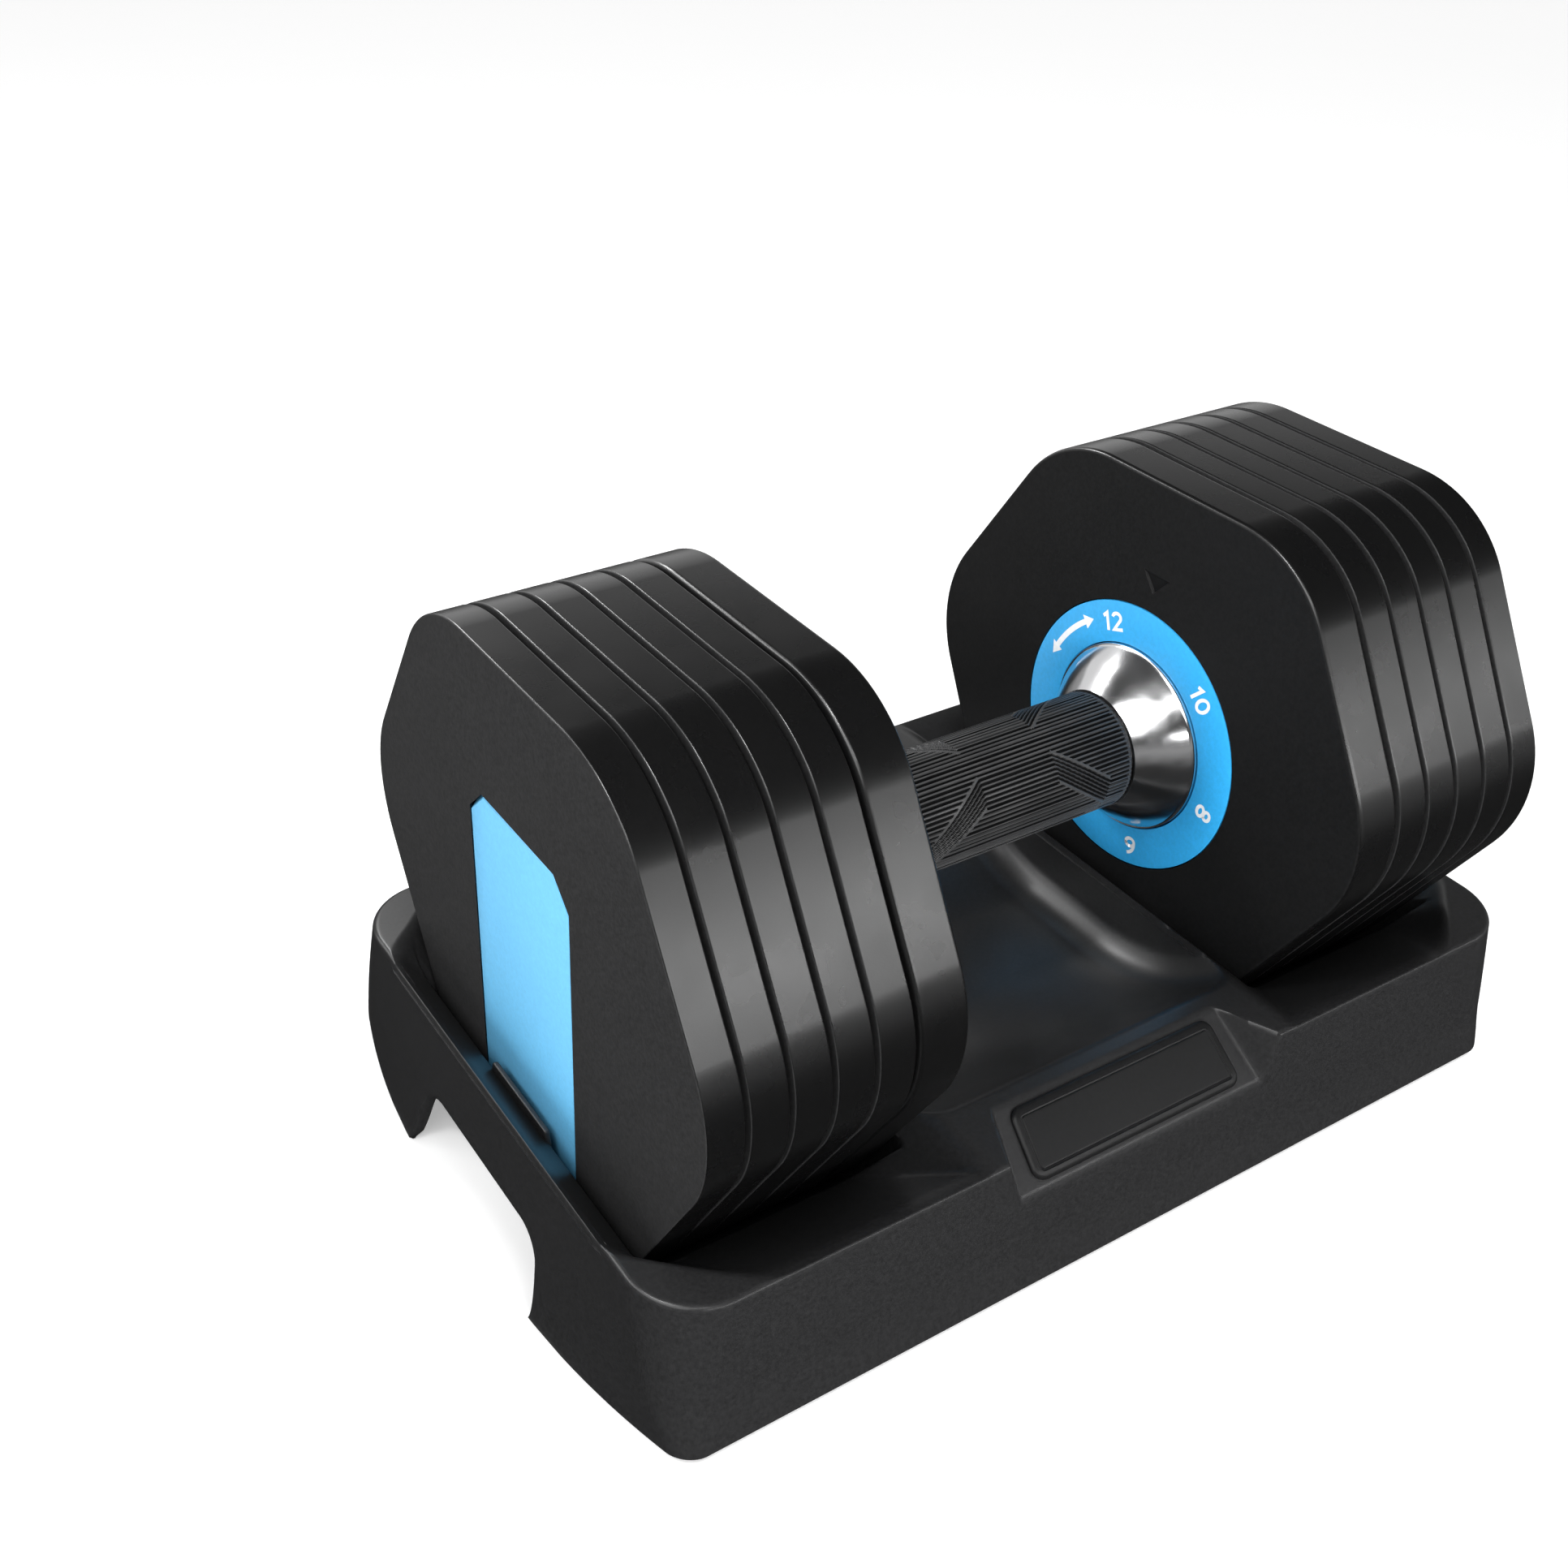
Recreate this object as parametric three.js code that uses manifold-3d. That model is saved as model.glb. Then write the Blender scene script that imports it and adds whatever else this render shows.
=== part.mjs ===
// An adjustable dumbbell standing in its storage tray. Millimetres, X along the handle, +Z up.
// Origin: the centre of the tray's footprint, on the surface that it stands on.
import * as THREE from 'three';
import { ConvexGeometry } from 'three/addons/geometries/ConvexGeometry.js';
import { mergeVertices } from 'three/addons/utils/BufferGeometryUtils.js';
import Module from 'manifold-3d';

// ---------------------------------------------------------------- driving dimensions
const AXIS_Z = 85;                 // handle axis above the floor
const GAP = 0.3;                   // between pieces that touch

const HEX = {                      // rounded hexagon that every weight plate shares, about the axis
  top: 77, bottom: -77, side: 6.3,   // heights of its corners
  topHalf: 44.3, sideHalf: 89.3, bottomHalf: 44,
  topRadius: 37, sideRadius: 38, bottomRadius: 34,
};
const PLATES_PER_SIDE = 5;
const HOUSING = { inner: 63, outer: 76.4 };
const PLATE_GAP = 1.5;
const PLATE_THICKNESS = 9.6;
const PLATE_PITCH = PLATE_THICKNESS + PLATE_GAP;
const PLATE_EDGE = 1.1;            // edge break round each plate

const SLOT = { half: 24.9, depth: 3.0, flare: 2.0, top: 35.4, chamfer: 7 };  // dovetail slot in outer faces
const TONGUE_CLEARANCE = 0.4;

const ROD_RADIUS = 7.9;
const ROD = { inner: 56.5, outer: 128.8 };
const BORE_RADIUS = ROD_RADIUS + 0.45;
const PIN = { radius: 1.5, x: 61, foot: 2, top: 12.9 };   // follower pin of each lock rod
const STEPS = 5;                                        // clicks between 2 kg and 12 kg
const STEP_ANGLE = Math.PI / 3;
const ROD_STROKE = STEPS * PLATE_PITCH;
const TWIST = STEPS * STEP_ANGLE;

const CORE_TUBE = { bore: 8.3, radius: 11, half: 70.5, slotHalf: 1.9 };
const HANDLE_TUBE = { bore: 11.4, radius: 14.6, half: 64.8, grooveHalf: 1.9, grooveRadius: 13.2 };
const GRIP = { bore: 14.9, radius: 17, half: 50.1 };
const HUB = { small: 17.2, radius: 27.8, nose: 50.4, face: 62.9, back: 64.8 };
const DIAL = { bore: 28.1, radius: 40.2, face: 62.9, back: 65.1 };
const LOCK_RING = { bore: 34.5, radius: 39.5, back: 67.2, notch: 9.6 };
const CAVITY = { radius: 40.7, back: 67.6 };            // room for the dial in the housing
const WEB_BACK = 70.8;
const COVER = { inset: 7, front: 71.1 };
const STEM = { front: 68, back: 70.4, half: 4, foot: -73, top: -29.5, hookBottom: -33.6, hookFront: 65.6 };
const SPRING_TOP = -18.9;
const DETENT = { ball: 2, x: 67.45, height: 31 };
const COVER_SCREW = { radius: 54, angles: [30, 150, 210, 330], head: 3.6, shank: 1.9, sides: 8 };

const TRAY = {
  halfWidth: 87.4, halfLength: 143.5, deck: 45.5, corner: 18.9,     // at the deck's edge
  baseHalfWidth: 92.4, baseHalfLength: 152.8, base: 1.5,            // at the skirt's lower edge
  bandTop: 12.5, bandHalfWidth: 89.9,
  bowStart: 20, bow: 12.5,                                          // how the ends curve in plan
  wall: 3,
};
const POCKET = { inner: 61, outer: 133.2, floor: 7.7, clearance: 2.5, mouth: 29 };
const FUNNEL = { halfWidth: 84.6, outer: 141, inner: 61 };
const TROUGH = { lip: 64.5, half: 57, floor: 22, flat: 18, blend: 11 };
const PANEL = { deckHalf: 38.5, edgeHalf: 46.6, baseHalf: 42, deckY: 70, wallY: 89, baseZ: 30 };
const PLAQUE = { half: 36, margin: 2.2, thickness: 1.6 };
const ARCH = { half: 36, top: 23, corner: 13 };
const TAB = { x: 133.6, thickness: 1.5, half: 15.5, top: 39.3 };
const FOOT = { x: 124, y: 72, radius: 10, height: 4 };
const POST = {                     // pushes a lock pin up; its pad and peg sit in the pocket's floor
  half: 3, top: 11.7, front: 68.2, back: 70.2,
  padFront: 66.2, padBack: 72.2, padHalf: 6.5, padFloor: 6.1,
  peg: 2, pegFoot: 2.8,
};

// ---------------------------------------------------------------- finishes
const finish = (color, roughness, metalness = 0) => (
  new THREE.MeshStandardMaterial({ color, roughness, metalness })
);
const FINISH = {
  tray: finish(0x2b2b2d, 0.42),
  plaque: finish(0x2e2e30, 0.5),
  rubber: finish(0x161616, 0.85),
  plate: finish(0x242426, 0.55, 0.2),
  housing: finish(0x232325, 0.6),
  blue: finish(0x3fb2ea, 0.4),
  chrome: finish(0xd8d8da, 0.08, 1),
  steel: finish(0x9a9c9e, 0.35, 1),
  nylon: finish(0xd9d6cc, 0.5),
};

// ---------------------------------------------------------------- solids
const wasm = await Module();
wasm.setup();

/** A manifold solid from a closed three.js geometry. */
function solid(geometry) {
  const bare = geometry.index ? geometry.toNonIndexed() : geometry.clone();
  bare.deleteAttribute('normal');
  bare.deleteAttribute('uv');
  const merged = mergeVertices(bare, 1e-4);
  const index = merged.index.array;
  const triangles = [];
  for (let i = 0; i < index.length; i += 3) {
    const [a, b, c] = [index[i], index[i + 1], index[i + 2]];
    if (a !== b && b !== c && c !== a) triangles.push(a, b, c);
  }
  const mesh = new wasm.Mesh({
    numProp: 3,
    vertProperties: new Float32Array(merged.attributes.position.array),
    triVerts: new Uint32Array(triangles),
  });
  return new wasm.Manifold(mesh);
}

/** A three.js geometry from a manifold solid. */
function geometryOf(manifold) {
  const mesh = manifold.getMesh();
  const geometry = new THREE.BufferGeometry();
  geometry.setAttribute('position', new THREE.BufferAttribute(new Float32Array(mesh.vertProperties), 3));
  geometry.setIndex(new THREE.BufferAttribute(new Uint32Array(mesh.triVerts), 1));
  geometry.computeVertexNormals();
  return geometry;
}

const X = new THREE.Vector3(1, 0, 0);
const Y = new THREE.Vector3(0, 1, 0);
const Z = new THREE.Vector3(0, 0, 1);
const minus = (v) => v.clone().negate();

function extruded(points, length, bevel = 0, segments = 1) {
  const shape = new THREE.Shape(points.map(([u, v]) => new THREE.Vector2(u, v)));
  return new THREE.ExtrudeGeometry(shape, {
    depth: length - 2 * bevel,
    bevelEnabled: bevel > 0,
    bevelThickness: bevel,
    bevelSize: bevel,
    bevelOffset: -bevel,
    bevelSegments: segments,
    steps: 1,
  }).translate(0, 0, bevel);
}

/** An outline of (y, z) points, extruded from x0 to x1. */
function prismX(points, x0, x1, bevel = 0, segments = 1) {
  const geometry = extruded(points, x1 - x0, bevel, segments);
  return solid(geometry.applyMatrix4(new THREE.Matrix4().makeBasis(Y, Z, X)).translate(x0, 0, 0));
}

/** An outline of (x, z) points, extruded from y0 to y1. */
function prismY(points, y0, y1) {
  const geometry = extruded(points, y1 - y0);
  return solid(geometry.applyMatrix4(new THREE.Matrix4().makeBasis(X, Z, minus(Y))).translate(0, y1, 0));
}

/** A box between two corners. */
function box([x0, y0, z0], [x1, y1, z1]) {
  const geometry = new THREE.BoxGeometry(x1 - x0, y1 - y0, z1 - z0);
  return solid(geometry.translate((x0 + x1) / 2, (y0 + y1) / 2, (z0 + z1) / 2));
}

/** A closed profile of (radius, x) points, turned about the line through (y, z) along X. */
function turnedX(profile, segments = 32, y = 0, z = AXIS_Z) {
  const points = profile.map(([r, x]) => new THREE.Vector2(r, x));
  const geometry = new THREE.LatheGeometry(points, segments);
  return solid(geometry.applyMatrix4(new THREE.Matrix4().makeBasis(Y, X, minus(Z))).translate(0, y, z));
}

/** A ring or, with a bore of 0, a disc about the handle axis. */
function ringX(bore, radius, x0, x1, segments = 32, y = 0, z = AXIS_Z) {
  const profile = [[bore, x0], [radius, x0], [radius, x1], [bore, x1]];
  if (bore > 0) profile.push([bore, x0]);
  return turnedX(profile, segments, y, z);
}

/** An upright round bar. */
function barZ(radius, z0, z1, x, y, segments = 16) {
  const geometry = new THREE.CylinderGeometry(radius, radius, z1 - z0, segments);
  return solid(geometry.rotateX(Math.PI / 2).translate(x, y, (z0 + z1) / 2));
}

/** The convex solid round a set of points. */
const hull = (points) => solid(new ConvexGeometry(points.map((p) => new THREE.Vector3(...p))));

const union = (first, ...rest) => rest.reduce((sum, s) => sum.add(s), first);
const cut = (first, ...rest) => rest.reduce((left, s) => left.subtract(s), first);

/** The same solid on the other side of the plane X = 0 (side -1), or the solid itself (side 1). */
const onSide = (manifold, side) => (side > 0 ? manifold : manifold.mirror([1, 0, 0]));

// ---------------------------------------------------------------- outlines
/** A polygon with rounded corners; each corner is [u, v, radius]. */
function roundedOutline(corners, segments) {
  const points = [];
  corners.forEach(([u, v, radius], i) => {
    const corner = new THREE.Vector2(u, v);
    const before = new THREE.Vector2(...corners.at(i - 1)).sub(corner).normalize();
    const after = new THREE.Vector2(...corners[(i + 1) % corners.length]).sub(corner).normalize();
    const half = Math.acos(before.dot(after)) / 2;
    const middle = before.clone().add(after).normalize();
    const centre = corner.clone().addScaledVector(middle, radius / Math.sin(half));
    const start = corner.clone().addScaledVector(before, radius / Math.tan(half)).sub(centre);
    const turn = Math.PI - 2 * half;
    for (let k = 0; k <= segments; k += 1) {
      const angle = (turn * k) / segments;
      const point = start.clone().rotateAround(new THREE.Vector2(), angle).add(centre);
      points.push([point.x, point.y]);
    }
  });
  return points;
}

/** The plate's outline as (y, z) points, moved outwards by grow. */
function hexOutline(grow = 0, segments = 4) {
  const corners = [
    [HEX.bottomHalf, HEX.bottom, HEX.bottomRadius],
    [HEX.sideHalf, HEX.side, HEX.sideRadius],
    [HEX.topHalf, HEX.top, HEX.topRadius],
    [-HEX.topHalf, HEX.top, HEX.topRadius],
    [-HEX.sideHalf, HEX.side, HEX.sideRadius],
    [-HEX.bottomHalf, HEX.bottom, HEX.bottomRadius],
  ];
  const moved = corners.map(([y, z, radius], i) => {
    const here = new THREE.Vector2(y, z);
    const before = new THREE.Vector2(...corners.at(i - 1)).sub(here).normalize();
    const after = new THREE.Vector2(...corners[(i + 1) % corners.length]).sub(here).normalize();
    const half = Math.acos(before.dot(after)) / 2;
    const outward = before.clone().add(after).normalize().negate();
    here.addScaledVector(outward, grow / Math.sin(half));
    return [here.x, here.y + AXIS_Z, radius + grow];
  });
  return roundedOutline(moved, segments);
}

/** The slot's upright outline: its half width, and the height of its chamfered top above the axis. */
function slotOutline(half, top, bottom) {
  const shoulder = top - SLOT.chamfer;
  return [
    [-half, bottom], [half, bottom], [half, AXIS_Z + shoulder],
    [half - SLOT.chamfer, AXIS_Z + top], [-half + SLOT.chamfer, AXIS_Z + top], [-half, AXIS_Z + shoulder],
  ];
}

/** A dovetail wedge: outline A at xA joined to outline B at xB. */
function dovetail(outlineA, xA, outlineB, xB) {
  return hull([...outlineA.map(([y, z]) => [xA, y, z]), ...outlineB.map(([y, z]) => [xB, y, z])]);
}

// ---------------------------------------------------------------- weight plates
const PLATE_BOTTOM = AXIS_Z + HEX.bottom;

/** Cutter for the slot in an outer face at x, open at the plate's bottom edge. */
function slotCutter(x) {
  const below = PLATE_BOTTOM - 5;
  const slope = SLOT.flare / SLOT.depth;
  const proud = 1;
  return dovetail(
    slotOutline(SLOT.half - proud * slope, SLOT.top, below), x + proud,
    slotOutline(SLOT.half + SLOT.flare, SLOT.top + SLOT.flare, below), x - SLOT.depth,
  );
}

/** The tongue on a plate's inner face at x, which reaches across the gap into its neighbour's slot. */
function tongue(x) {
  const depth = SLOT.depth - TONGUE_CLEARANCE;
  const slope = SLOT.flare / SLOT.depth;
  const half = SLOT.half - TONGUE_CLEARANCE;
  const top = SLOT.top - TONGUE_CLEARANCE;
  const bottom = PLATE_BOTTOM + 4;
  const face = x - PLATE_GAP;
  const neck = prismX(slotOutline(half, top, bottom), face, x + 1);
  const head = dovetail(
    slotOutline(half, top, bottom), face,
    slotOutline(half + depth * slope, top + depth * slope, bottom), face - depth,
  );
  return neck.add(head);
}

const plateInner = (number) => HOUSING.outer + PLATE_GAP + (number - 1) * PLATE_PITCH;

function weightPlate(number, side) {
  const inner = plateInner(number);
  const outer = inner + PLATE_THICKNESS;
  const slab = prismX(hexOutline(), inner, outer, PLATE_EDGE);
  const bore = ringX(0, BORE_RADIUS, inner - 8, outer + 1, 16);
  return onSide(cut(union(slab, tongue(inner)), slotCutter(outer), bore), side);
}

/** The coloured strip that fills the last plate's slot. */
function endInsert(side) {
  const outer = plateInner(PLATES_PER_SIDE) + PLATE_THICKNESS;
  const back = outer - SLOT.depth + GAP;
  const slope = SLOT.flare / SLOT.depth;
  const rise = (SLOT.depth - GAP) * slope;
  const front = slotOutline(SLOT.half - GAP, SLOT.top - GAP, PLATE_BOTTOM + 1.5);
  const rear = slotOutline(SLOT.half - GAP + rise, SLOT.top - GAP + rise, PLATE_BOTTOM + 1.5);
  return onSide(dovetail(front, outer - 0.1, rear, back), side);
}

// ---------------------------------------------------------------- fixed inner plate and its mechanism
const screwPlaces = COVER_SCREW.angles.map((degrees) => {
  const angle = THREE.MathUtils.degToRad(degrees);
  return [COVER_SCREW.radius * Math.cos(angle), AXIS_Z + COVER_SCREW.radius * Math.sin(angle)];
});

function pointerMark() {
  const outline = [[0, AXIS_Z + 45.4], [5, AXIS_Z + 51.8], [-5, AXIS_Z + 51.8]];
  return prismX(outline, HOUSING.inner - 1, HOUSING.inner + 0.6);
}

function housing(side) {
  const slab = prismX(hexOutline(), HOUSING.inner, HOUSING.outer, PLATE_EDGE);
  const dialRoom = ringX(0, CAVITY.radius, HOUSING.inner - 1, CAVITY.back, 32);
  const coverRoom = prismX(hexOutline(-COVER.inset + GAP), WEB_BACK, HOUSING.outer + 1);
  const tubeHole = ringX(0, CORE_TUBE.radius + GAP, CAVITY.back - 1, WEB_BACK + 1, 16);
  const stemSlot = box(
    [CAVITY.back - 1, -STEM.half - 0.4, PLATE_BOTTOM - 1],
    [WEB_BACK + 0.1, STEM.half + 0.4, AXIS_Z + SPRING_TOP + GAP],
  );
  const ballHole = ringX(0, DETENT.ball + GAP, CAVITY.back - 1, WEB_BACK + 1, 10, 0, AXIS_Z + DETENT.height);
  const screwHoles = screwPlaces.map(([y, z]) => (
    ringX(0, COVER_SCREW.shank + GAP, CAVITY.back - 1.2, WEB_BACK + 1, COVER_SCREW.sides, y, z)
  ));
  const body = cut(slab, dialRoom, coverRoom, tubeHole, stemSlot, ballHole, pointerMark(), ...screwHoles);
  return onSide(body.subtract(slotCutter(HOUSING.outer)), side);
}

function housingCover(side) {
  const slab = prismX(hexOutline(-COVER.inset), COVER.front, HOUSING.outer - 0.2, 0.5);
  const bore = ringX(0, BORE_RADIUS, COVER.front - 1, HOUSING.outer + 1, 16);
  const holes = screwPlaces.map(([y, z]) => union(
    ringX(0, COVER_SCREW.shank + GAP, COVER.front - 1, HOUSING.outer, COVER_SCREW.sides, y, z),
    ringX(0, COVER_SCREW.head + GAP, HOUSING.outer - 2.5, HOUSING.outer + 1, COVER_SCREW.sides, y, z),
  ));
  return onSide(cut(slab, bore, slotCutter(HOUSING.outer), ...holes), side);
}

function coverScrew(place, side) {
  const [y, z] = place;
  const [tip, seat, top] = [CAVITY.back - 0.6, HOUSING.outer - 2.2, HOUSING.outer - 0.4];
  const { head, shank, sides } = COVER_SCREW;
  const profile = [[0, tip], [shank, tip], [shank, seat], [head, seat], [head, top], [0, top]];
  return onSide(turnedX(profile, sides, y, z), side);
}

/** Safety pin: a stem that the tray's post pushes up, with a hook that drops into the lock ring's notch. */
function lockPin(side) {
  const stem = box([STEM.front, -STEM.half, AXIS_Z + STEM.foot], [STEM.back, STEM.half, AXIS_Z + STEM.top]);
  const hook = box(
    [STEM.hookFront, -STEM.half, AXIS_Z + STEM.hookBottom],
    [STEM.front + 1, STEM.half, AXIS_Z + STEM.top],
  );
  return onSide(stem.add(hook), side);
}

class Helix extends THREE.Curve {
  constructor(radius, pitch, turns) {
    super();
    Object.assign(this, { radius, pitch, turns });
  }

  getPoint(t, target = new THREE.Vector3()) {
    const angle = 2 * Math.PI * this.turns * t;
    const [x, y] = [this.radius * Math.cos(angle), this.radius * Math.sin(angle)];
    return target.set(x, y, this.pitch * this.turns * t);
  }
}

/** A coil spring along +Z from the origin, of that length. */
function coil(radius, wire, length, turns) {
  const section = new THREE.Shape();
  const sides = 4;
  for (let k = 0; k < sides; k += 1) {
    const angle = (2 * Math.PI * k) / sides;
    const [u, v] = [wire * Math.cos(angle), wire * Math.sin(angle)];
    if (k === 0) section.moveTo(u, v);
    else section.lineTo(u, v);
  }
  section.closePath();
  const path = new Helix(radius, (length - 2 * wire) / turns, turns);
  const steps = Math.round(turns * 8);
  const geometry = new THREE.ExtrudeGeometry(section, { steps, extrudePath: path, bevelEnabled: false });
  return geometry.translate(0, 0, wire);
}

function lockSpring(side) {
  const foot = AXIS_Z + STEM.top + GAP;
  const length = AXIS_Z + SPRING_TOP - foot;
  const middle = (STEM.front + STEM.back) / 2;
  return onSide(solid(coil(1.0, 0.25, length, 4).translate(middle, 0, foot)), side);
}

function detentBall(side) {
  const ball = new THREE.IcosahedronGeometry(DETENT.ball, 1);
  return onSide(solid(ball.translate(DETENT.x, 0, AXIS_Z + DETENT.height)), side);
}

function detentSpring(side) {
  const start = DETENT.x + DETENT.ball - 0.15;
  const spring = coil(1.35, 0.2, COVER.front - GAP - start, 1.5).rotateY(Math.PI / 2);
  return onSide(solid(spring.translate(start, 0, AXIS_Z + DETENT.height)), side);
}

/** The fixed tube between the housings; its straight slots keep the rods' follower pins from turning. */
function coreTube() {
  const tube = ringX(CORE_TUBE.bore, CORE_TUBE.radius, -CORE_TUBE.half, CORE_TUBE.half, 24);
  const slot = (x0, x1) => box([x0, -CORE_TUBE.slotHalf, AXIS_Z + 4], [x1, CORE_TUBE.slotHalf, AXIS_Z + 14]);
  const end = PIN.x + CORE_TUBE.slotHalf;
  const start = PIN.x - ROD_STROKE - CORE_TUBE.slotHalf;
  return cut(tube, slot(start, end), slot(-end, -start));
}

const thrustWasher = (side) => onSide(ringX(CORE_TUBE.radius + GAP, 17, 65.2, CAVITY.back - GAP, 16), side);

// ---------------------------------------------------------------- turning handle
/** A band along the path of a follower pin, as wide as the pin needs, between two radii. */
function helicalGroove(side) {
  const stations = 15;
  const lead = 0.06;
  const rows = [];
  for (let i = 0; i <= stations; i += 1) {
    const t = -lead + ((1 + 2 * lead) * i) / stations;
    const angle = TWIST * t;
    const x = side * (PIN.x - ROD_STROKE * t);
    rows.push({ angle, x });
  }
  const tangent = new THREE.Vector2(TWIST * GRIP.bore, ROD_STROKE).normalize();
  const pieces = [];
  for (let i = 0; i < stations; i += 1) {
    const points = [];
    for (const row of [rows[i], rows[i + 1]]) {
      for (const edge of [-1, 1]) {
        for (const radius of [HANDLE_TUBE.bore - 1, HANDLE_TUBE.grooveRadius]) {
          const across = (edge * HANDLE_TUBE.grooveHalf) / tangent.x;
          const angle = row.angle;
          points.push([row.x + across, -radius * Math.sin(angle), AXIS_Z + radius * Math.cos(angle)]);
        }
      }
    }
    pieces.push(hull(points));
  }
  return wasm.Manifold.union(pieces);
}

function handleTube() {
  const { bore, radius, half } = HANDLE_TUBE;
  return cut(ringX(bore, radius, -half, half, 30), helicalGroove(1), helicalGroove(-1));
}

const gripSleeve = () => ringX(GRIP.bore, GRIP.radius, -GRIP.half, GRIP.half, 36);

/** Domed collar between the grip and the dial. */
function hub(side) {
  const arc = 5;
  const bore = HANDLE_TUBE.radius + GAP;
  const profile = [[bore, HUB.nose]];
  for (let k = 0; k <= arc; k += 1) {
    const angle = (Math.PI / 2) * (k / arc);
    const r = HUB.small + (HUB.radius - HUB.small) * Math.sin(angle);
    profile.push([r, HUB.face - (HUB.face - HUB.nose) * Math.cos(angle)]);
  }
  profile.push([HUB.radius, HUB.back], [bore, HUB.back], [bore, HUB.nose]);
  return onSide(turnedX(profile, 28), side);
}

/** Numbered ring with the lock ring behind it, whose six notches meet the safety pin. */
function dial(side) {
  const face = ringX(DIAL.bore, DIAL.radius, DIAL.face, DIAL.back, 32);
  let ring = ringX(LOCK_RING.bore, LOCK_RING.radius, DIAL.back - 0.5, LOCK_RING.back, 24);
  for (let k = 0; k < 6; k += 1) {
    const geometry = new THREE.BoxGeometry(6, LOCK_RING.notch, 20);
    geometry.translate(DIAL.back + 3, 0, -LOCK_RING.radius).rotateX(k * STEP_ANGLE).translate(0, 0, AXIS_Z);
    ring = ring.subtract(solid(geometry));
  }
  return onSide(face.add(ring), side);
}

// ---------------------------------------------------------------- lock rods
function lockRod(side) {
  const { inner, outer } = ROD;
  const nose = 1.2;
  const profile = [
    [0, inner], [ROD_RADIUS, inner], [ROD_RADIUS, outer - nose], [ROD_RADIUS - nose, outer], [0, outer],
  ];
  const hole = barZ(PIN.radius + GAP, AXIS_Z + PIN.foot, AXIS_Z + 12, PIN.x, 0, 12);
  return onSide(turnedX(profile, 20).subtract(hole), side);
}

const followerPin = (side) => (
  onSide(barZ(PIN.radius, AXIS_Z + PIN.foot + GAP, AXIS_Z + PIN.top, PIN.x, 0, 12), side)
);

// ---------------------------------------------------------------- tray
/** Plan outline of the tray: deck share 1 at the deck's edge, 0 at the skirt's foot. */
function trayOutline(share, halfWidth) {
  const half = TRAY.baseHalfLength - TRAY.bow + (TRAY.halfLength - TRAY.baseHalfLength + TRAY.bow) * share;
  const corner = TRAY.corner;
  const arc = 4;
  const bulge = TRAY.bow * (1 - share);
  const points = [];
  const endX = (y) => {
    const past = Math.max(0, Math.abs(y) - TRAY.bowStart) / (TRAY.baseHalfWidth - TRAY.bowStart);
    return half + bulge * (1 - past * past);
  };
  const straight = halfWidth - corner;
  const side = [];
  for (let k = 0; k <= arc; k += 1) {
    const angle = -Math.PI / 2 + (Math.PI / 2) * (k / arc);
    const y = -straight + corner * Math.sin(angle);
    side.push([endX(y) - corner + corner * Math.cos(angle), y]);
  }
  for (const y of [-0.55 * straight, -0.25 * straight]) side.push([endX(y), y]);
  points.push(...side, ...side.map(([x, y]) => [x, -y]).reverse());
  points.push(...points.map(([x, y]) => [-x, y]).reverse());
  return points;
}

/** A closed solid through a stack of outlines with equal numbers of points. */
function lofted(layers) {
  const count = layers[0].points.length;
  const positions = layers.flatMap(({ points, z }) => points.flatMap(([x, y]) => [x, y, z]));
  const index = [];
  for (let layer = 0; layer < layers.length - 1; layer += 1) {
    for (let i = 0; i < count; i += 1) {
      const [a, b] = [layer * count + i, layer * count + ((i + 1) % count)];
      index.push(a, b, b + count, a, b + count, a + count);
    }
  }
  const flat = (points) => points.map(([x, y]) => new THREE.Vector2(x, y));
  const cap = (points) => THREE.ShapeUtils.triangulateShape(flat(points), []);
  cap(layers[0].points).forEach(([a, b, c]) => index.push(a, c, b));
  const last = (layers.length - 1) * count;
  cap(layers.at(-1).points).forEach(([a, b, c]) => index.push(last + a, last + b, last + c));
  const geometry = new THREE.BufferGeometry();
  geometry.setAttribute('position', new THREE.BufferAttribute(new Float32Array(positions), 3));
  geometry.setIndex(index);
  return solid(geometry);
}

/** The tray's outer form; a positive inset gives the form of its inner wall. */
function trayBlock(inset = 0) {
  const height = TRAY.deck - TRAY.base;
  const layer = (z, halfWidth, narrower = 0) => {
    const share = ((z - TRAY.base) / height) ** 0.7;
    const less = inset + narrower;
    const points = trayOutline(share, halfWidth).map(([x, y]) => [
      x * (1 - less / TRAY.halfLength),
      y * (1 - less / TRAY.halfWidth),
    ]);
    return { points, z: z === TRAY.base ? z - inset : z };
  };
  const edge = 2;
  return lofted([
    layer(TRAY.base, TRAY.baseHalfWidth),
    layer(TRAY.bandTop, TRAY.bandHalfWidth),
    layer(25, 89),
    layer(TRAY.deck - edge, TRAY.halfWidth),
    layer(TRAY.deck, TRAY.halfWidth, edge),
  ]);
}

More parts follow.
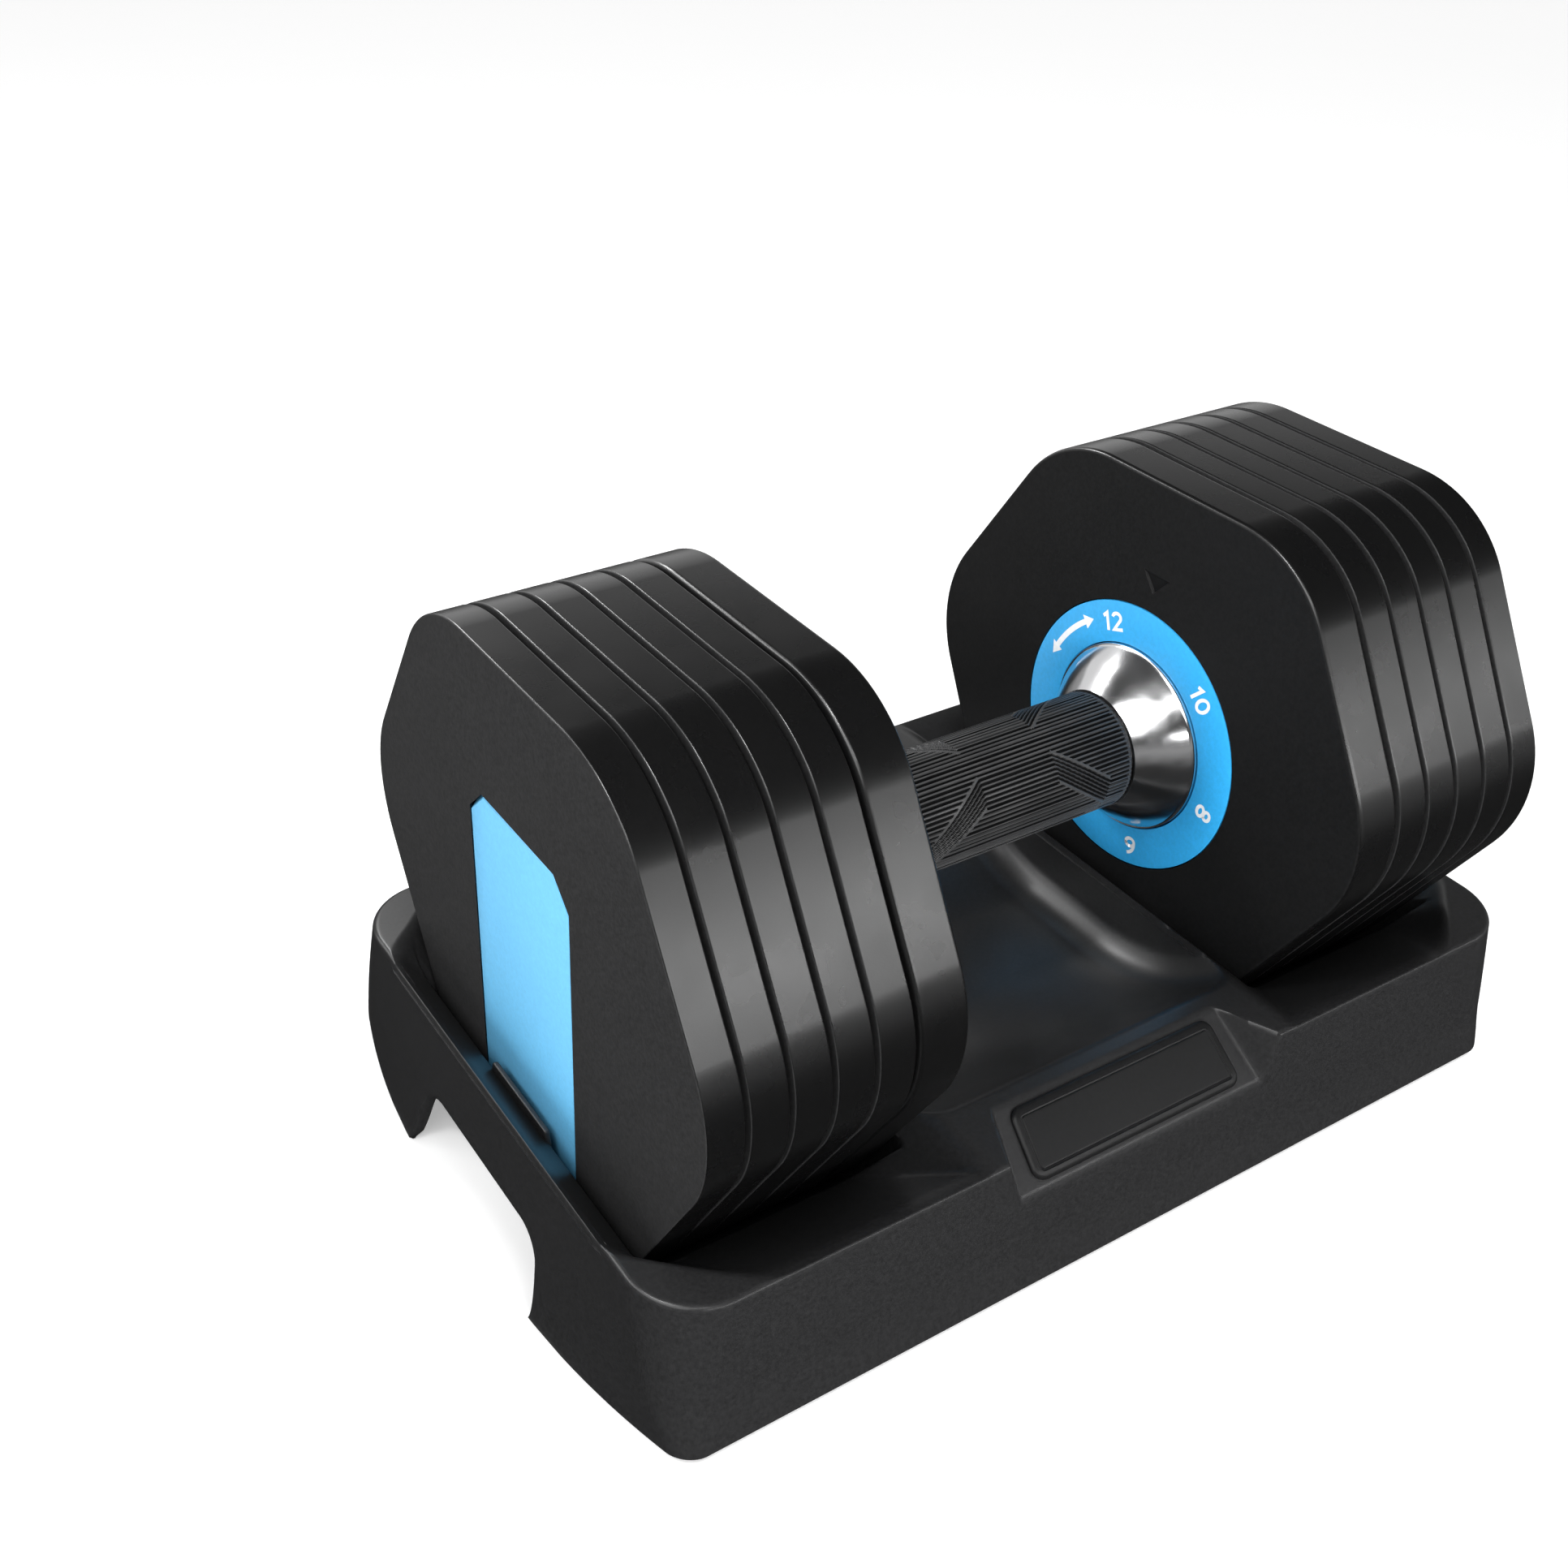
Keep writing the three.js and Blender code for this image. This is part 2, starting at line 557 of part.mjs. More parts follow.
/** The pocket that one group of plates stands in, with its funnel-shaped mouth. */
function pocketCutter() {
  const well = prismX(hexOutline(POCKET.clearance), POCKET.inner, POCKET.outer)
    .subtract(box([0, -100, -10], [200, 100, POCKET.floor]));
  const mouthHalf = 58.5;
  const top = TRAY.deck + 3;
  const rise = (top - POCKET.mouth) / (TRAY.deck - POCKET.mouth);
  const funnelHalf = mouthHalf + (FUNNEL.halfWidth - mouthHalf) * rise;
  const funnelOuter = POCKET.outer + (FUNNEL.outer - POCKET.outer) * rise;
  const funnel = hull([
    [POCKET.inner, -mouthHalf, POCKET.mouth], [POCKET.inner, mouthHalf, POCKET.mouth],
    [POCKET.outer, -mouthHalf, POCKET.mouth], [POCKET.outer, mouthHalf, POCKET.mouth],
    [FUNNEL.inner, -funnelHalf, top], [FUNNEL.inner, funnelHalf, top],
    [funnelOuter, -funnelHalf + 12, top], [funnelOuter, funnelHalf - 12, top],
    [funnelOuter - 12, -funnelHalf, top], [funnelOuter - 12, funnelHalf, top],
  ]);
  return well.add(funnel);
}

/** The basin under the grip: hollow across Y, with blended side walls. */
function troughCutter() {
  const points = [];
  const steps = 10;
  for (let k = 0; k <= steps; k += 1) {
    const y = -TROUGH.lip + (2 * TROUGH.lip * k) / steps;
    const past = Math.max(0, Math.abs(y) - TROUGH.flat) / (TROUGH.lip - TROUGH.flat);
    const z = TROUGH.floor + (TRAY.deck - TROUGH.floor) * (1 - Math.cos(Math.PI * past)) / 2;
    points.push([y, z]);
  }
  points.push([TROUGH.lip, TRAY.deck + 25], [-TROUGH.lip, TRAY.deck + 25]);
  return prismX(points, -TROUGH.half, TROUGH.half, TROUGH.blend, 2);
}

/** The bevelled recess for a name plate on the tray's long side. */
function panelCutter() {
  const { deckHalf, edgeHalf, baseHalf, deckY, wallY, baseZ } = PANEL;
  const above = 1.2;
  const outside = 100;
  const slope = (TRAY.deck - baseZ) / (wallY - deckY);
  const bottomZ = baseZ - (outside - wallY) * slope;
  return hull([
    [-deckHalf, -deckY, TRAY.deck], [deckHalf, -deckY, TRAY.deck],
    [-deckHalf, -deckY, TRAY.deck + above], [deckHalf, -deckY, TRAY.deck + above],
    [-edgeHalf - 5, -outside, TRAY.deck + above], [edgeHalf + 5, -outside, TRAY.deck + above],
    [-baseHalf, -outside, bottomZ], [baseHalf, -outside, bottomZ],
  ]);
}

const bothWays = (manifold) => manifold.add(manifold.mirror([0, 1, 0]));
const bothEnds = (manifold) => manifold.add(manifold.mirror([1, 0, 0]));

/** The space under the deck, which leaves a wall all round. */
function undersideCutter() {
  const low = -5;
  const { wall } = TRAY;
  const flank = prismX([
    [-100, low], [-100, 39.4], [-80.5, 39.4], [-62, 26 - wall * 0.5],
    [-56, 19.5], [-44, 5.2], [-30, POCKET.floor - wall], [-30, low],
  ], -136.5, 136.5);
  const middle = box([-57.5, -60, low], [57.5, 60, TROUGH.floor - wall]);
  const end = prismY([[136.4, low], [136.4, 28], [139.4, 36], [160, 36], [160, low]], -70, 70);
  const panelRoom = bothWays(hull([
    [-50, -66, 60], [50, -66, 60], [-50, -66, 38], [50, -66, 38],
    [-50, -95, 14], [50, -95, 14], [-50, -95, 60], [50, -95, 60],
  ]));
  const bosses = [];
  for (const x of [-FOOT.x, FOOT.x]) {
    for (const y of [-FOOT.y, FOOT.y]) bosses.push(barZ(FOOT.radius + 1.5, low, 60, x, y, 16));
  }
  const room = union(bothWays(flank), middle, bothEnds(end)).intersect(trayBlock(wall));
  return cut(room, panelRoom, ...bosses);
}

/** Arched finger opening through each end wall. */
function archCutter() {
  const { half, top, corner } = ARCH;
  const corners = [
    [-half - 3, -6, 1], [half + 3, -6, 1], [half - 4, top, corner], [-half + 4, top, corner],
  ];
  const outline = roundedOutline(corners, 4);
  return prismX(outline, POCKET.outer + TRAY.wall, 170);
}

function trayShell() {
  const footSockets = [];
  for (const x of [-FOOT.x, FOOT.x]) {
    for (const y of [-FOOT.y, FOOT.y]) {
      footSockets.push(barZ(FOOT.radius + GAP, -5, FOOT.height + GAP, x, y, 16));
    }
  }
  const { padFront, padBack, padHalf } = POST;
  const postSeat = union(
    box([padFront - GAP, -padHalf - GAP, POST.padFloor], [padBack + GAP, padHalf + GAP, POCKET.floor + 1]),
    barZ(POST.peg + GAP, POST.pegFoot - GAP, POCKET.floor, (padFront + padBack) / 2, 0, 16),
  );
  const block = cut(
    trayBlock(), bothEnds(pocketCutter()), troughCutter(), bothWays(panelCutter()),
    undersideCutter(), bothEnds(archCutter()), bothEnds(postSeat), ...footSockets,
  );
  const tab = box([TAB.x, -TAB.half, POCKET.mouth - 1], [TAB.x + TAB.thickness, TAB.half, TAB.top]);
  return block.add(bothEnds(tab));
}

/** Plain plaque lying in the bevelled recess of one long side. */
function namePlate(side) {
  const { deckY, wallY, baseZ } = PANEL;
  const run = wallY - deckY;
  const drop = TRAY.deck - baseZ;
  const length = Math.hypot(run, drop);
  const half = PLAQUE.half;
  const [low, high] = [PLAQUE.margin + 1, length - PLAQUE.margin];
  const narrower = half - 1.2;
  const corners = [[-half, low, 2], [half, low, 2], [narrower, high, 2], [-narrower, high, 2]];
  const outline = roundedOutline(corners, 3);
  const geometry = extruded(outline, PLAQUE.thickness, 0.4);
  const tilt = Math.atan2(drop, run);
  geometry.translate(0, 0, GAP).rotateX(tilt).translate(0, -wallY, baseZ);
  const plate = solid(geometry);
  return side < 0 ? plate : plate.mirror([0, 1, 0]);
}

/** Post that pushes a lock pin up while the dumbbell stands in the tray. */
function releasePost(side) {
  const { padFront, padBack, padHalf } = POST;
  const pad = box([padFront, -padHalf, POST.padFloor + GAP], [padBack, padHalf, POCKET.floor]);
  const blade = box([POST.front, -POST.half, POST.padFloor + GAP], [POST.back, POST.half, POST.top]);
  const peg = barZ(POST.peg, POST.pegFoot, POCKET.floor - 0.5, (padFront + padBack) / 2, 0, 16);
  return onSide(union(pad, blade, peg), side);
}

const foot = (x, y) => barZ(FOOT.radius, 0, FOOT.height, x, y, 16);

// ---------------------------------------------------------------- assembly
const dumbbell = new THREE.Group();

function place(parent, name, manifold, material) {
  const mesh = new THREE.Mesh(geometryOf(manifold), material);
  mesh.name = name;
  parent.add(mesh);
}

const SIDES = { left: -1, right: 1 };

function buildTray(parent) {
  place(parent, 'tray_shell', trayShell(), FINISH.tray);
  place(parent, 'name_plate_front', namePlate(-1), FINISH.plaque);
  place(parent, 'name_plate_rear', namePlate(1), FINISH.plaque);
  [[-1, -1], [1, -1], [1, 1], [-1, 1]].forEach(([sx, sy], i) => {
    place(parent, `tray_foot_${i + 1}`, foot(sx * FOOT.x, sy * FOOT.y), FINISH.rubber);
  });
  for (const [word, side] of Object.entries(SIDES)) {
    place(parent, `release_post_${word}`, releasePost(side), FINISH.nylon);
  }
}

function buildFixedCore(parent) {
  place(parent, 'core_tube', coreTube(), FINISH.steel);
  for (const [word, side] of Object.entries(SIDES)) {
    place(parent, `housing_${word}`, housing(side), FINISH.housing);
    place(parent, `housing_cover_${word}`, housingCover(side), FINISH.housing);
    screwPlaces.forEach((spot, i) => {
      place(parent, `cover_screw_${word}_${i + 1}`, coverScrew(spot, side), FINISH.steel);
    });
    place(parent, `thrust_washer_${word}`, thrustWasher(side), FINISH.nylon);
    place(parent, `detent_ball_${word}`, detentBall(side), FINISH.steel);
    place(parent, `detent_spring_${word}`, detentSpring(side), FINISH.steel);
    place(parent, `lock_pin_${word}`, lockPin(side), FINISH.steel);
    place(parent, `lock_spring_${word}`, lockSpring(side), FINISH.steel);
  }
}

function buildHandle(parent) {
  place(parent, 'handle_tube', handleTube(), FINISH.steel);
  place(parent, 'grip_sleeve', gripSleeve(), FINISH.rubber);
  for (const [word, side] of Object.entries(SIDES)) {
    place(parent, `hub_${word}`, hub(side), FINISH.chrome);
    place(parent, `dial_${word}`, dial(side), FINISH.blue);
  }
}

function buildRods(parent) {
  for (const [word, side] of Object.entries(SIDES)) {
    place(parent, `lock_rod_${word}`, lockRod(side), FINISH.steel);
    place(parent, `follower_pin_${word}`, followerPin(side), FINISH.steel);
  }
}

function buildPlates(parent) {
  for (const [word, side] of Object.entries(SIDES)) {
    for (let number = 1; number <= PLATES_PER_SIDE; number += 1) {
      place(parent, `plate_${word}_${number}`, weightPlate(number, side), FINISH.plate);
    }
    place(parent, `end_insert_${word}`, endInsert(side), FINISH.blue);
  }
}

buildTray(dumbbell);
buildFixedCore(dumbbell);
buildHandle(dumbbell);
buildRods(dumbbell);
buildPlates(dumbbell);

export default dumbbell;
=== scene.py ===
import math

import bmesh
import bpy
import numpy as np
from mathutils import Matrix, Vector


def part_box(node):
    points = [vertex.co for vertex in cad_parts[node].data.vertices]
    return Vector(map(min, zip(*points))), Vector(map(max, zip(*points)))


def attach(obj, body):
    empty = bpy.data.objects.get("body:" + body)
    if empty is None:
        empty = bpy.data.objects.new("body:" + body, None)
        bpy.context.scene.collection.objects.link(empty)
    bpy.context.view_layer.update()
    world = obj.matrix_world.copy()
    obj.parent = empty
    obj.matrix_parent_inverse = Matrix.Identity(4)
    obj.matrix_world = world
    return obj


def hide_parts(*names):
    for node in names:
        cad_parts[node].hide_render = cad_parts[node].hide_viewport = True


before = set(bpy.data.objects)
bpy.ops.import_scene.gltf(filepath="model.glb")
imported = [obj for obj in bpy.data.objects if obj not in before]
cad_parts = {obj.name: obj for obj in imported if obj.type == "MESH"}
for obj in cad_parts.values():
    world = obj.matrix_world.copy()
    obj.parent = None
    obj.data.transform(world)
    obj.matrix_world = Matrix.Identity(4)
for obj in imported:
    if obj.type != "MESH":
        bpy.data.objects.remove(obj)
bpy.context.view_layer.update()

# An adjustable dumbbell in its tray. Shapes are worked out in millimetres and become metres as a
# mesh is made. X runs along the handle, -Y is the front long side, +Z is up.
MM = 0.001
SIDES = {"left": -1, "right": 1}

# ---------------- driving sizes
AXIS_Z = sum(corner[2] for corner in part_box("grip_sleeve")) / 2 / MM
PLATES_PER_SIDE = 5

HEX_CORNERS = [  # half of the plate's outline: (half width, height above the axis, corner radius)
    (44.0, -77.0, 34.0),
    (89.3, 6.3, 38.0),
    (44.3, 77.0, 37.0),
]
PLATE_EDGE, PLATE_THICKNESS = 0.5, 9.6
SLOT_HALF, SLOT_TOP, SLOT_CHAMFER = 24.9, 35.4, 7.0
SLOT_DEPTH, SLOT_FLARE = 3.0, 2.0
BORE_RADIUS = 8.35

DIAL_INNER, DIAL_OUTER, DIAL_FACE = 28.1, 40.2, 62.9
MARK_RADIUS, ARROW_RADIUS = 34.1, 35.0
HOUSING_INNER, HOUSING_OUTER = 63.0, 76.4
POINTER_TOP, POINTER_POINT, POINTER_HALF = 51.8, 45.3, 5.2    # the mark above the dial

GRIP_RADIUS, GRIP_HALF = 17.0, 50.1
GROOVES_AROUND, GROOVE_DEPTH, GROOVE_HALF = 80, 0.85, 0.31    # the half width is in pitches

DECK = 45.5
DECK_LENGTH, DECK_WIDTH, DECK_CORNER = 143.5, 87.4, 18.9      # half sizes and corner radius
STRAIGHT_X, STRAIGHT_Y = DECK_LENGTH - DECK_CORNER, DECK_WIDTH - DECK_CORNER
DECK_EDGE = 1.7
SKIRT_FOOT, SKIRT_BAND, WALL_TOP = 1.5, 12.5, DECK - DECK_EDGE
SKIRT_WIDTH, BAND_WIDTH, FOOT_CORNER = 92.4, 90.0, 6.0
END_LENGTH, END_BOW, BOW_START = 140.6, 12.2, 20.0
POCKET_INNER, POCKET_OUTER, POCKET_FLOOR, POCKET_CLEARANCE = 61.4, 133.0, 7.7, 2.5
FUNNEL_MOUTH, FUNNEL_START, FUNNEL_WIDTH, FUNNEL_LENGTH = 29.0, 58.5, 85.6, 143.2
CORNER_X, CORNER_Y, CORNER_REACH = 0.678, 0.735, 141.2        # direction and place of its corner planes
END_SLOPE, CORNER_SLOPE, RIM_SLOPE, WALL_SLOPE = 1.12, 1.8, 0.85, 24
TROUGH_LIP, TROUGH_FLAT, TROUGH_FLOOR, TROUGH_HALF, TROUGH_BLEND = 64.5, 14.0, 22.0, 57.0, 12.0
RIM_START, RIM_TOP = 54.5, 43.6
PANEL_TOP_HALF, PANEL_EDGE_HALF, PANEL_FOOT_HALF = 38.5, 46.6, 42.0
PANEL_TOP_Y, PANEL_SLOPE = 70.0, 0.80
FLANK_IN, FLANK_OUT, FLANK_WIDTH, SPLAY_END = 37.9, 39.1, 1.2, 56     # of the deck's grid
ARCH_HALF, ARCH_TOP, ARCH_FLAT, ARCH_RETURN = 35.6, 21.5, 22.5, 1.2
SHELL_THICKNESS = 2.2


# ---------------- materials
class Nodes:
    """Shorthand for building one material's node tree."""

    def __init__(self, name, colour, roughness, metallic=0.0, specular=0.5):
        self.material = bpy.data.materials.new(name)
        self.material.use_nodes = True
        self.tree = self.material.node_tree
        self.shader = self.tree.nodes["Principled BSDF"]
        self.set("Base Color", (*colour, 1.0))
        self.set("Roughness", roughness)
        self.set("Metallic", metallic)
        self.set("Specular IOR Level", specular)
        self.position = self.tree.nodes.new("ShaderNodeTexCoord").outputs["Object"]

    def set(self, socket, value):
        self.shader.inputs[socket].default_value = value

    def link(self, output, node, socket):
        self.tree.links.new(output, node.inputs[socket])

    def node(self, kind, **values):
        """A new node with its inputs set; an underscore stands for the space in an input's name."""
        made = self.tree.nodes.new("ShaderNode" + kind)
        for name, value in values.items():
            made.inputs[name.replace("_", " ")].default_value = value
        return made

    def noise(self, scale, detail=2.0, roughness=0.5, stretch=(1.0, 1.0, 1.0)):
        mapping = self.node("Mapping", Scale=stretch)
        self.link(self.position, mapping, "Vector")
        noise = self.node("TexNoise", Scale=scale, Detail=detail, Roughness=roughness)
        self.link(mapping.outputs["Vector"], noise, "Vector")
        return noise.outputs["Fac"]

    def spread(self, value, low, high):
        """value, which is noise about a half, spread over low to high."""
        ranged = self.node("MapRange", From_Min=0.3, From_Max=0.7, To_Min=low, To_Max=high)
        self.link(value, ranged, "Value")
        return ranged.outputs["Result"]

    def colour(self, value, first, second):
        """Colours the surface from first to second as value runs from 0 to 1."""
        ramp = self.node("ValToRGB")
        ramp.color_ramp.elements[0].color = (*first, 1.0)
        ramp.color_ramp.elements[1].color = (*second, 1.0)
        self.link(value, ramp, "Fac")
        self.link(ramp.outputs["Color"], self.shader, "Base Color")

    def roughen(self, noise, low, high):
        self.link(self.spread(noise, low, high), self.shader, "Roughness")

    def bump(self, *layers):
        """Bump from (height, strength, distance in millimetres) layers, finest last."""
        normal = None
        for height, strength, distance in layers:
            bump = self.node("Bump", Strength=strength, Distance=distance * MM)
            self.link(height, bump, "Height")
            if normal is not None:
                self.link(normal, bump, "Normal")
            normal = bump.outputs["Normal"]
        self.link(normal, self.shader, "Normal")


def moulded_plastic(name, colour, roughness, grain=0.05, specular=0.5, lighter=1.6):
    """Moulded plastic: fine spark-eroded grain, pale specks and an uneven gloss."""
    made = Nodes(name, colour, roughness, specular=specular)
    cloud = made.noise(26.0, 3.0, 0.6)
    grain_noise = made.noise(1500.0, 1.0)
    pale = tuple(min(1.0, c * lighter) for c in colour)
    speckle = made.spread(made.noise(900.0, 2.0, 0.7), 0.0, 1.0)
    made.colour(speckle, colour, pale)
    made.roughen(cloud, roughness - 0.03, roughness + 0.04)
    made.bump((grain_noise, 0.5, grain))
    return made.material


def plate_rim_paint():
    """Satin black paint on the plates' edges: fine speckle, an uneven gloss and orange peel."""
    made = Nodes("plate_rim_paint", (0.004, 0.004, 0.0042), 0.26, specular=1.0)
    speckle = made.spread(made.noise(2200.0, 2.0, 0.7), 0.0, 1.0)
    made.colour(speckle, (0.0012, 0.0012, 0.0013), (0.0034, 0.0034, 0.0035))
    made.roughen(made.noise(60.0, 3.0, 0.6), 0.26, 0.30)
    made.bump((made.noise(2400.0, 1.0), 0.4, 0.02))
    return made.material


def chrome():
    """Polished chrome over a spun collar: almost a mirror, with faint turning marks and haze."""
    made = Nodes("hub_chrome", (0.84, 0.84, 0.85), 0.17, metallic=1.0)
    rings = made.noise(420.0, 2.0, stretch=(1.0, 0.02, 0.02))
    made.roughen(made.noise(45.0, 3.0, 0.6), 0.12, 0.22)
    made.bump((made.noise(70.0, 2.0), 0.6, 0.6), (rings, 0.06, 0.03))
    return made.material


def machined_steel():
    """Turned steel with fine tool marks."""
    made = Nodes("machined_steel", (0.48, 0.48, 0.49), 0.32, metallic=1.0)
    made.roughen(made.noise(70.0, 3.0), 0.24, 0.42)
    made.bump((made.noise(900.0, 2.0, stretch=(1.0, 0.05, 0.05)), 0.3, 0.04))
    return made.material


def grip_rubber():
    """Moulded rubber: matt, faintly dusty, with a fine pitted skin."""
    made = Nodes("grip_rubber", (0.020, 0.020, 0.0205), 0.38, specular=0.7)
    dust = made.spread(made.noise(55.0, 4.0, 0.65), 0.0, 1.0)
    made.colour(dust, (0.030, 0.030, 0.0305), (0.052, 0.052, 0.0525))
    made.roughen(made.noise(130.0, 3.0), 0.32, 0.44)
    made.bump((made.noise(1400.0, 2.0), 0.6, 0.08))
    return made.material


def groove_painted_shade():
    """The same rubber at the bottom of the grooves: a duller finish, and darker as painted shade."""
    made = Nodes("grip_groove_painted_shade", (0.004, 0.004, 0.0041), 0.70, specular=0.2)
    dust = made.spread(made.noise(240.0, 3.0, 0.6), 0.0, 1.0)
    # these dark colours are painted shade for the grooves' depth, varied a little by the noise
    made.colour(dust, (0.003, 0.003, 0.0031), (0.007, 0.007, 0.0071))
    made.bump((made.noise(1600.0, 2.0), 0.4, 0.05))
    return made.material


def foot_rubber():
    """Dull soft rubber of the tray's feet."""
    made = Nodes("foot_rubber", (0.016, 0.016, 0.016), 0.85, specular=0.3)
    made.roughen(made.noise(300.0, 3.0), 0.78, 0.92)
    made.bump((made.noise(800.0, 2.0), 0.5, 0.1))
    return made.material


def printed_white():
    """Screen-printed white ink, very slightly uneven."""
    made = Nodes("printed_white", (0.86, 0.87, 0.88), 0.5, specular=0.4)
    worn = made.spread(made.noise(700.0, 2.0), 0.0, 1.0)
    made.colour(worn, (0.80, 0.83, 0.86), (0.90, 0.91, 0.92))
    made.bump((made.noise(1200.0, 1.0), 0.3, 0.03))
    return made.material


def pale_floor():
    """A white studio table that glows a little."""
    made = Nodes("stage_floor", (0.80, 0.80, 0.80), 0.9, specular=0.0)
    made.colour(made.noise(3.0, 2.0), (0.795, 0.795, 0.795), (0.805, 0.805, 0.805))
    made.set("Emission Color", (1.0, 1.0, 1.0, 1.0))
    made.set("Emission Strength", 0.30)
    return made.material


MATERIALS = {
    "tray": moulded_plastic("tray_plastic", (0.0115, 0.0115, 0.0119), 0.33, grain=0.006, specular=0.6),
    "plaque": moulded_plastic("plaque_plastic", (0.0045, 0.0045, 0.0047), 0.38, grain=0.02),
    "face": moulded_plastic("plate_face_coat", (0.0165, 0.0165, 0.0169), 0.60, grain=0.04, specular=0.35),
    "housing": moulded_plastic("housing_plastic", (0.006, 0.006, 0.0062), 0.50, grain=0.03, specular=0.3),
    "insert": moulded_plastic("insert_blue", (0.125, 0.43, 0.70), 0.42, grain=0.05, lighter=1.12),
    "dial": moulded_plastic("dial_blue", (0.030, 0.36, 0.74), 0.40, grain=0.04, lighter=1.15),
    "nylon": moulded_plastic("nylon", (0.66, 0.64, 0.58), 0.45, grain=0.04, lighter=1.05),
    "rim": plate_rim_paint(),
    "chrome": chrome(),
    "steel": machined_steel(),
    "grip": grip_rubber(),
    # painted shade for the bottoms of the grip's grooves
    "groove": groove_painted_shade(),
    "foot": foot_rubber(),
    "ink": printed_white(),
    "floor": pale_floor(),
}


# ---------------- mesh helpers
def make_piece(name, points, faces, keys=(), crease=34.0):
    """A smooth-shaded object from points in millimetres, its faces turned outwards.

    keys name its materials; a tool for a boolean has none."""
    mesh = bpy.data.meshes.new(name)
    mesh.from_pydata([tuple(float(c) * MM for c in point) for point in points], [], faces)
    for key in keys:
        mesh.materials.append(MATERIALS[key])
    made = bpy.data.objects.new(name, mesh)
    bpy.context.scene.collection.objects.link(made)
    tidy_mesh(mesh, crease)
    return made


def tidy_mesh(mesh, crease):
    work = bmesh.new()
    work.from_mesh(mesh)
    bmesh.ops.remove_doubles(work, verts=work.verts, dist=0.004 * MM)
    bmesh.ops.dissolve_degenerate(work, edges=work.edges, dist=0.002 * MM)
    bmesh.ops.recalc_face_normals(work, faces=work.faces)
    work.to_mesh(mesh)
    work.free()
    mesh.shade_smooth()
    mesh.set_sharp_from_angle(angle=math.radians(crease))


def combine(target, tool, operation="DIFFERENCE"):
    """target after a boolean with tool, which is used up."""
    modifier = target.modifiers.new("shape", "BOOLEAN")
    modifier.operation = operation
    modifier.solver = "EXACT"
    modifier.object = tool
    bake_modifiers(target)
    bpy.data.objects.remove(tool, do_unlink=True)


def bake_modifiers(target):
    depsgraph = bpy.context.evaluated_depsgraph_get()
    mesh = bpy.data.meshes.new_from_object(target.evaluated_get(depsgraph))
    target.modifiers.clear()
    target.data = mesh


def soften_faces(target):
    """Keeps flat faces flat where they meet rounded edges."""
    modifier = target.modifiers.new("flat_faces", "WEIGHTED_NORMAL")
    modifier.keep_sharp = True


def corner_sides(corners, i):
    """A polygon's corner, the directions to its two neighbours and half the angle between them."""
    corner = Vector(corners[i][:2])
    before = (Vector(corners[i - 1][:2]) - corner).normalized()
    after = (Vector(corners[(i + 1) % len(corners)][:2]) - corner).normalized()
    return corner, before, after, before.angle(after) / 2


def rounded_outline(corners, segments):
    """A polygon's outline with each (u, v, radius) corner rounded by an arc."""
    points = []
    for i, (_, _, radius) in enumerate(corners):
        corner, before, after, half = corner_sides(corners, i)
        centre = corner + (before + after).normalized() * radius / math.sin(half)
        start = corner + before * radius / math.tan(half) - centre
        turn = math.pi - 2 * half
        for k in range(segments + 1):
            point = centre + Matrix.Rotation(turn * k / segments, 2) @ start
            points.append((point.x, point.y))
    return points


def grown(corners, grow):
    """The corners of the same polygon with every side moved outwards."""
    moved = []
    for i, (_, _, radius) in enumerate(corners):
        corner, before, after, half = corner_sides(corners, i)
        place = corner - (before + after).normalized() * grow / math.sin(half)
        moved.append((place.x, place.y, max(radius + grow, 0.15)))
    return moved


def hexagon(grow=0.0, segments=18):
    """The plates' outline as (y, z) points."""
    right = [(y, z + AXIS_Z, radius) for y, z, radius in HEX_CORNERS]
    left = [(-y, z, radius) for y, z, radius in reversed(right)]
    return rounded_outline(grown(right + left, grow), segments)


def band(low, high, count):
    """Faces between two closed rings of count points that begin at the points low and high."""
    pairs = [(i, (i + 1) % count) for i in range(count)]
    return [(low + i, low + j, high + j, high + i) for i, j in pairs]


def loft(rings, close_ends=True):
    """Points and faces of a skin over equal rings of 3-D points, capped at both ends or left open."""
    count = len(rings[0])
    points = [point for ring in rings for point in ring]
    faces = []
    for row in range(len(rings) - 1):
        faces += band(row * count, (row + 1) * count, count)
    if close_ends:
        faces.append(tuple(range(count)))
        faces.append(tuple((len(rings) - 1) * count + i for i in range(count)))
    return points, faces


def at_x(x, outline):
    return [(x, y, z) for y, z in outline]


def slab_rings(outline_at, x0, x1, edge, steps=4):
    """Rings of a slab between x0 and x1 whose edges are rounded; outline_at(grow) gives (y, z)."""
    rings = []
    for k in range(steps + 1):
        angle = math.pi / 2 * k / steps
        ring = outline_at(-edge * (1 - math.sin(angle)))
        rings.append(at_x(x0 + edge * (1 - math.cos(angle)), ring))
    for ring in reversed(rings[:]):
        rings.append([(x1 - (x - x0), y, z) for x, y, z in ring])
    return rings


def turned(profile, segments):
    """Points and faces of a closed (radius, x) profile turned about the handle's axis."""
    points = []
    faces = []
    count = len(profile)
    for k in range(segments):
        angle = 2 * math.pi * k / segments
        points += [
            (x, radius * math.sin(angle), AXIS_Z + radius * math.cos(angle))
            for radius, x in profile
        ]
        faces += band(k * count, (k + 1) % segments * count, count)
    return points, faces


def mirrored(points, side):
    """The points as they are on the right, or mirrored for the left (side -1)."""
    return [(side * x, y, z) for x, y, z in points]


def finish_piece(made, body, slot, *nodes):
    """Hands the piece to its body, in place of the CAD nodes named; the slot argument is not used."""
    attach(made, body)
    if nodes:
        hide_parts(*nodes)


